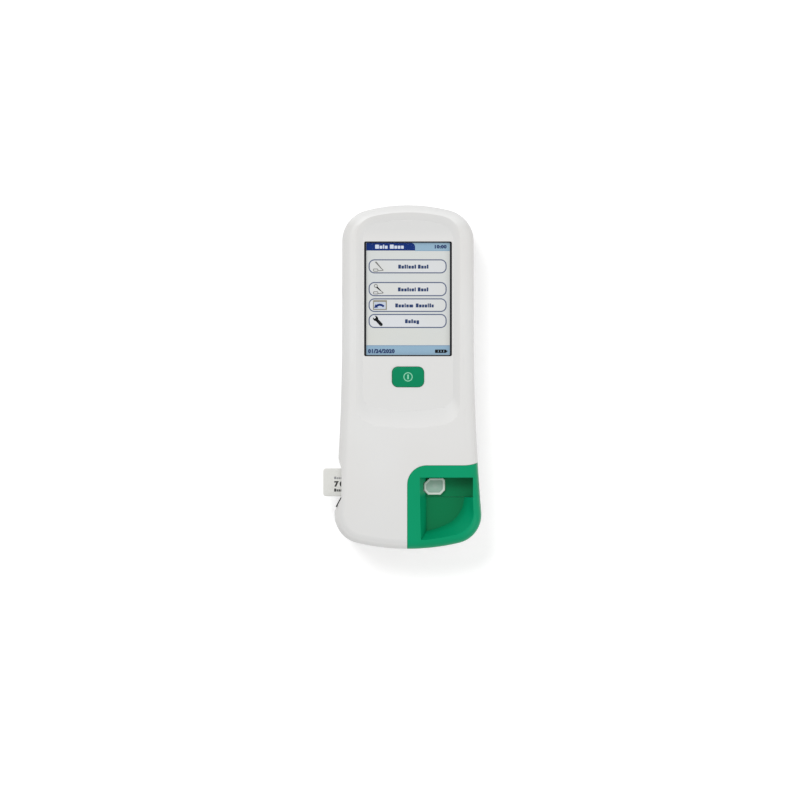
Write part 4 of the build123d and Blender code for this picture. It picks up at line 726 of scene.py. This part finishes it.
for tone, ink in (("grey", greyInk), ("black", blackInk)):
    form = bmesh.new()
    for down, height, rowTone in chipLabel["rows"]:
        if rowTone != tone:
            continue
        high, left = chipHigh.y - down, printLeft
        for number, wide in enumerate(chipLabel["blocks"]):  # short blocks stand for small print
            if left + wide < printRight:
                top = high if number == 0 else high - height * chipLabel["lowShare"]
                block = roundedBox(left, high - height, left + wide, top, chipLabel["blockCorner"])
                addPlate(form, block, *inkZ)
            left += wide + chipLabel["blockGap"]
    if tone == "black":
        top, bottom = (chipHigh.y - down for down in chipLabel["numberDown"])
        numberBox = (printLeft, bottom, printLeft + chipLabel["numberWidth"], top)
        addNumerals(form, chipLabel["number"], numberBox, *inkZ,
                    chipLabel["numberWeight"], chipLabel["numberSpace"])
    finishPiece("chip_label_print_" + tone, form, ink, "code_chip")

stripFilm = {  # over the dish of the strip's head; drop is measured down from the head's rim
    "headLength": 14.9, "inset": 1.7, "drop": (0.68, 0.45),
    "corners": (2.6, 2.6, 0.7, 2.6), "cornerSteps": 4}
headLow, headHigh = (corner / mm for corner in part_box("test_strip"))
headLeft, inset = headHigh.x - stripFilm["headLength"], stripFilm["inset"]
form = bmesh.new()
film = roundedCorners(headLeft + inset, headLow.y + inset, headHigh.x - inset, headHigh.y - inset,
                      stripFilm["corners"], stripFilm["cornerSteps"])
addPlate(form, film, *(headHigh.z - drop for drop in stripFilm["drop"]))
finishPiece("strip_well_film", form, frostedFilm, "test_strip")
print("prints and film made")


stageLook = {
    "colour": "#F4F4F4", "roughness": 0.9, "size": 6.0,
    "lift": 0.25,  # the camera sees the floor a little brighter, like a catalogue's white ground
}
half = stageLook["size"] / 2
form = bmesh.new()
corners = ((-half, -half), (half, -half), (half, half), (-half, half))
form.faces.new([form.verts.new((x, y, 0)) for x, y in corners])
floorMesh = bpy.data.meshes.new("floor")
form.to_mesh(floorMesh)
form.free()
floor = bpy.data.objects.new("floor", floorMesh)
bpy.context.collection.objects.link(floor)
material, tree, shader = startMaterial("paintedPaleFloor", stageLook)
path = addNode(tree, "ShaderNodeLightPath")
lift = addNode(tree, "ShaderNodeMath", (path.outputs["Is Camera Ray"], stageLook["lift"]),
               operation="MULTIPLY")
shader.inputs["Emission Color"].default_value = (1, 1, 1, 1)
tree.links.new(lift.outputs[0], shader.inputs["Emission Strength"])
floorMesh.materials.append(material)

worldLook = {"light": 0.62, "seen": 1.0}  # how strongly it lights the part, how bright it looks
world = bpy.data.worlds.new("studio")
world.use_nodes = True
bpy.context.scene.world = world
tree = world.node_tree
tree.nodes.clear()
path = addNode(tree, "ShaderNodeLightPath")
seen = path.outputs["Is Camera Ray"]
for ray in ("Is Glossy Ray", "Is Transmission Ray"):
    both = addNode(tree, "ShaderNodeMath", (seen, path.outputs[ray]), operation="MAXIMUM")
    seen = both.outputs[0]
soft, plain = (addNode(tree, "ShaderNodeBackground", ((1, 1, 1, 1), worldLook[key])).outputs[0]
               for key in ("light", "seen"))
mixed = addNode(tree, "ShaderNodeMixShader", (seen, soft, plain))
addNode(tree, "ShaderNodeOutputWorld", {"Surface": mixed.outputs[0]})

lamps = {  # soft boxes; the key one hangs beyond the display end, to the left
    "key": {"place": (-0.6, 0.9, 1.8), "size": (0.9, 0.7), "power": 18.0},
    "fill": {"place": (1.25, -0.8, 0.9), "size": (0.9, 0.9), "power": 7.0},
}
for name, lamp in lamps.items():
    light = bpy.data.lights.new(name, "AREA")
    light.shape = "RECTANGLE"
    light.size, light.size_y = lamp["size"]
    light.energy = lamp["power"]
    holder = bpy.data.objects.new(name, light)
    bpy.context.collection.objects.link(holder)
    holder.location = lamp["place"]
    holder.rotation_euler = (-Vector(lamp["place"])).to_track_quat("-Z", "Y").to_euler()

photoView = {  # a long lens straight above, in metres but for the lens and the sensor
    "lens": 200.0, "sensor": 36.0, "middle": (-0.00566, -0.01627),
    "level": 0.037, "across": 0.5658,  # at this height the picture is so wide
}
camera = bpy.data.objects.new("camera", bpy.data.cameras.new("camera"))
bpy.context.collection.objects.link(camera)
camera.data.lens = photoView["lens"]
camera.data.sensor_width = photoView["sensor"]
away = photoView["across"] * photoView["lens"] / photoView["sensor"]
camera.location = (*photoView["middle"], photoView["level"] + away)
camera.data.clip_end = 50.0
bpy.context.scene.camera = camera
bpy.context.scene.view_settings.view_transform = "Standard"
print("stage, lamps and camera set")
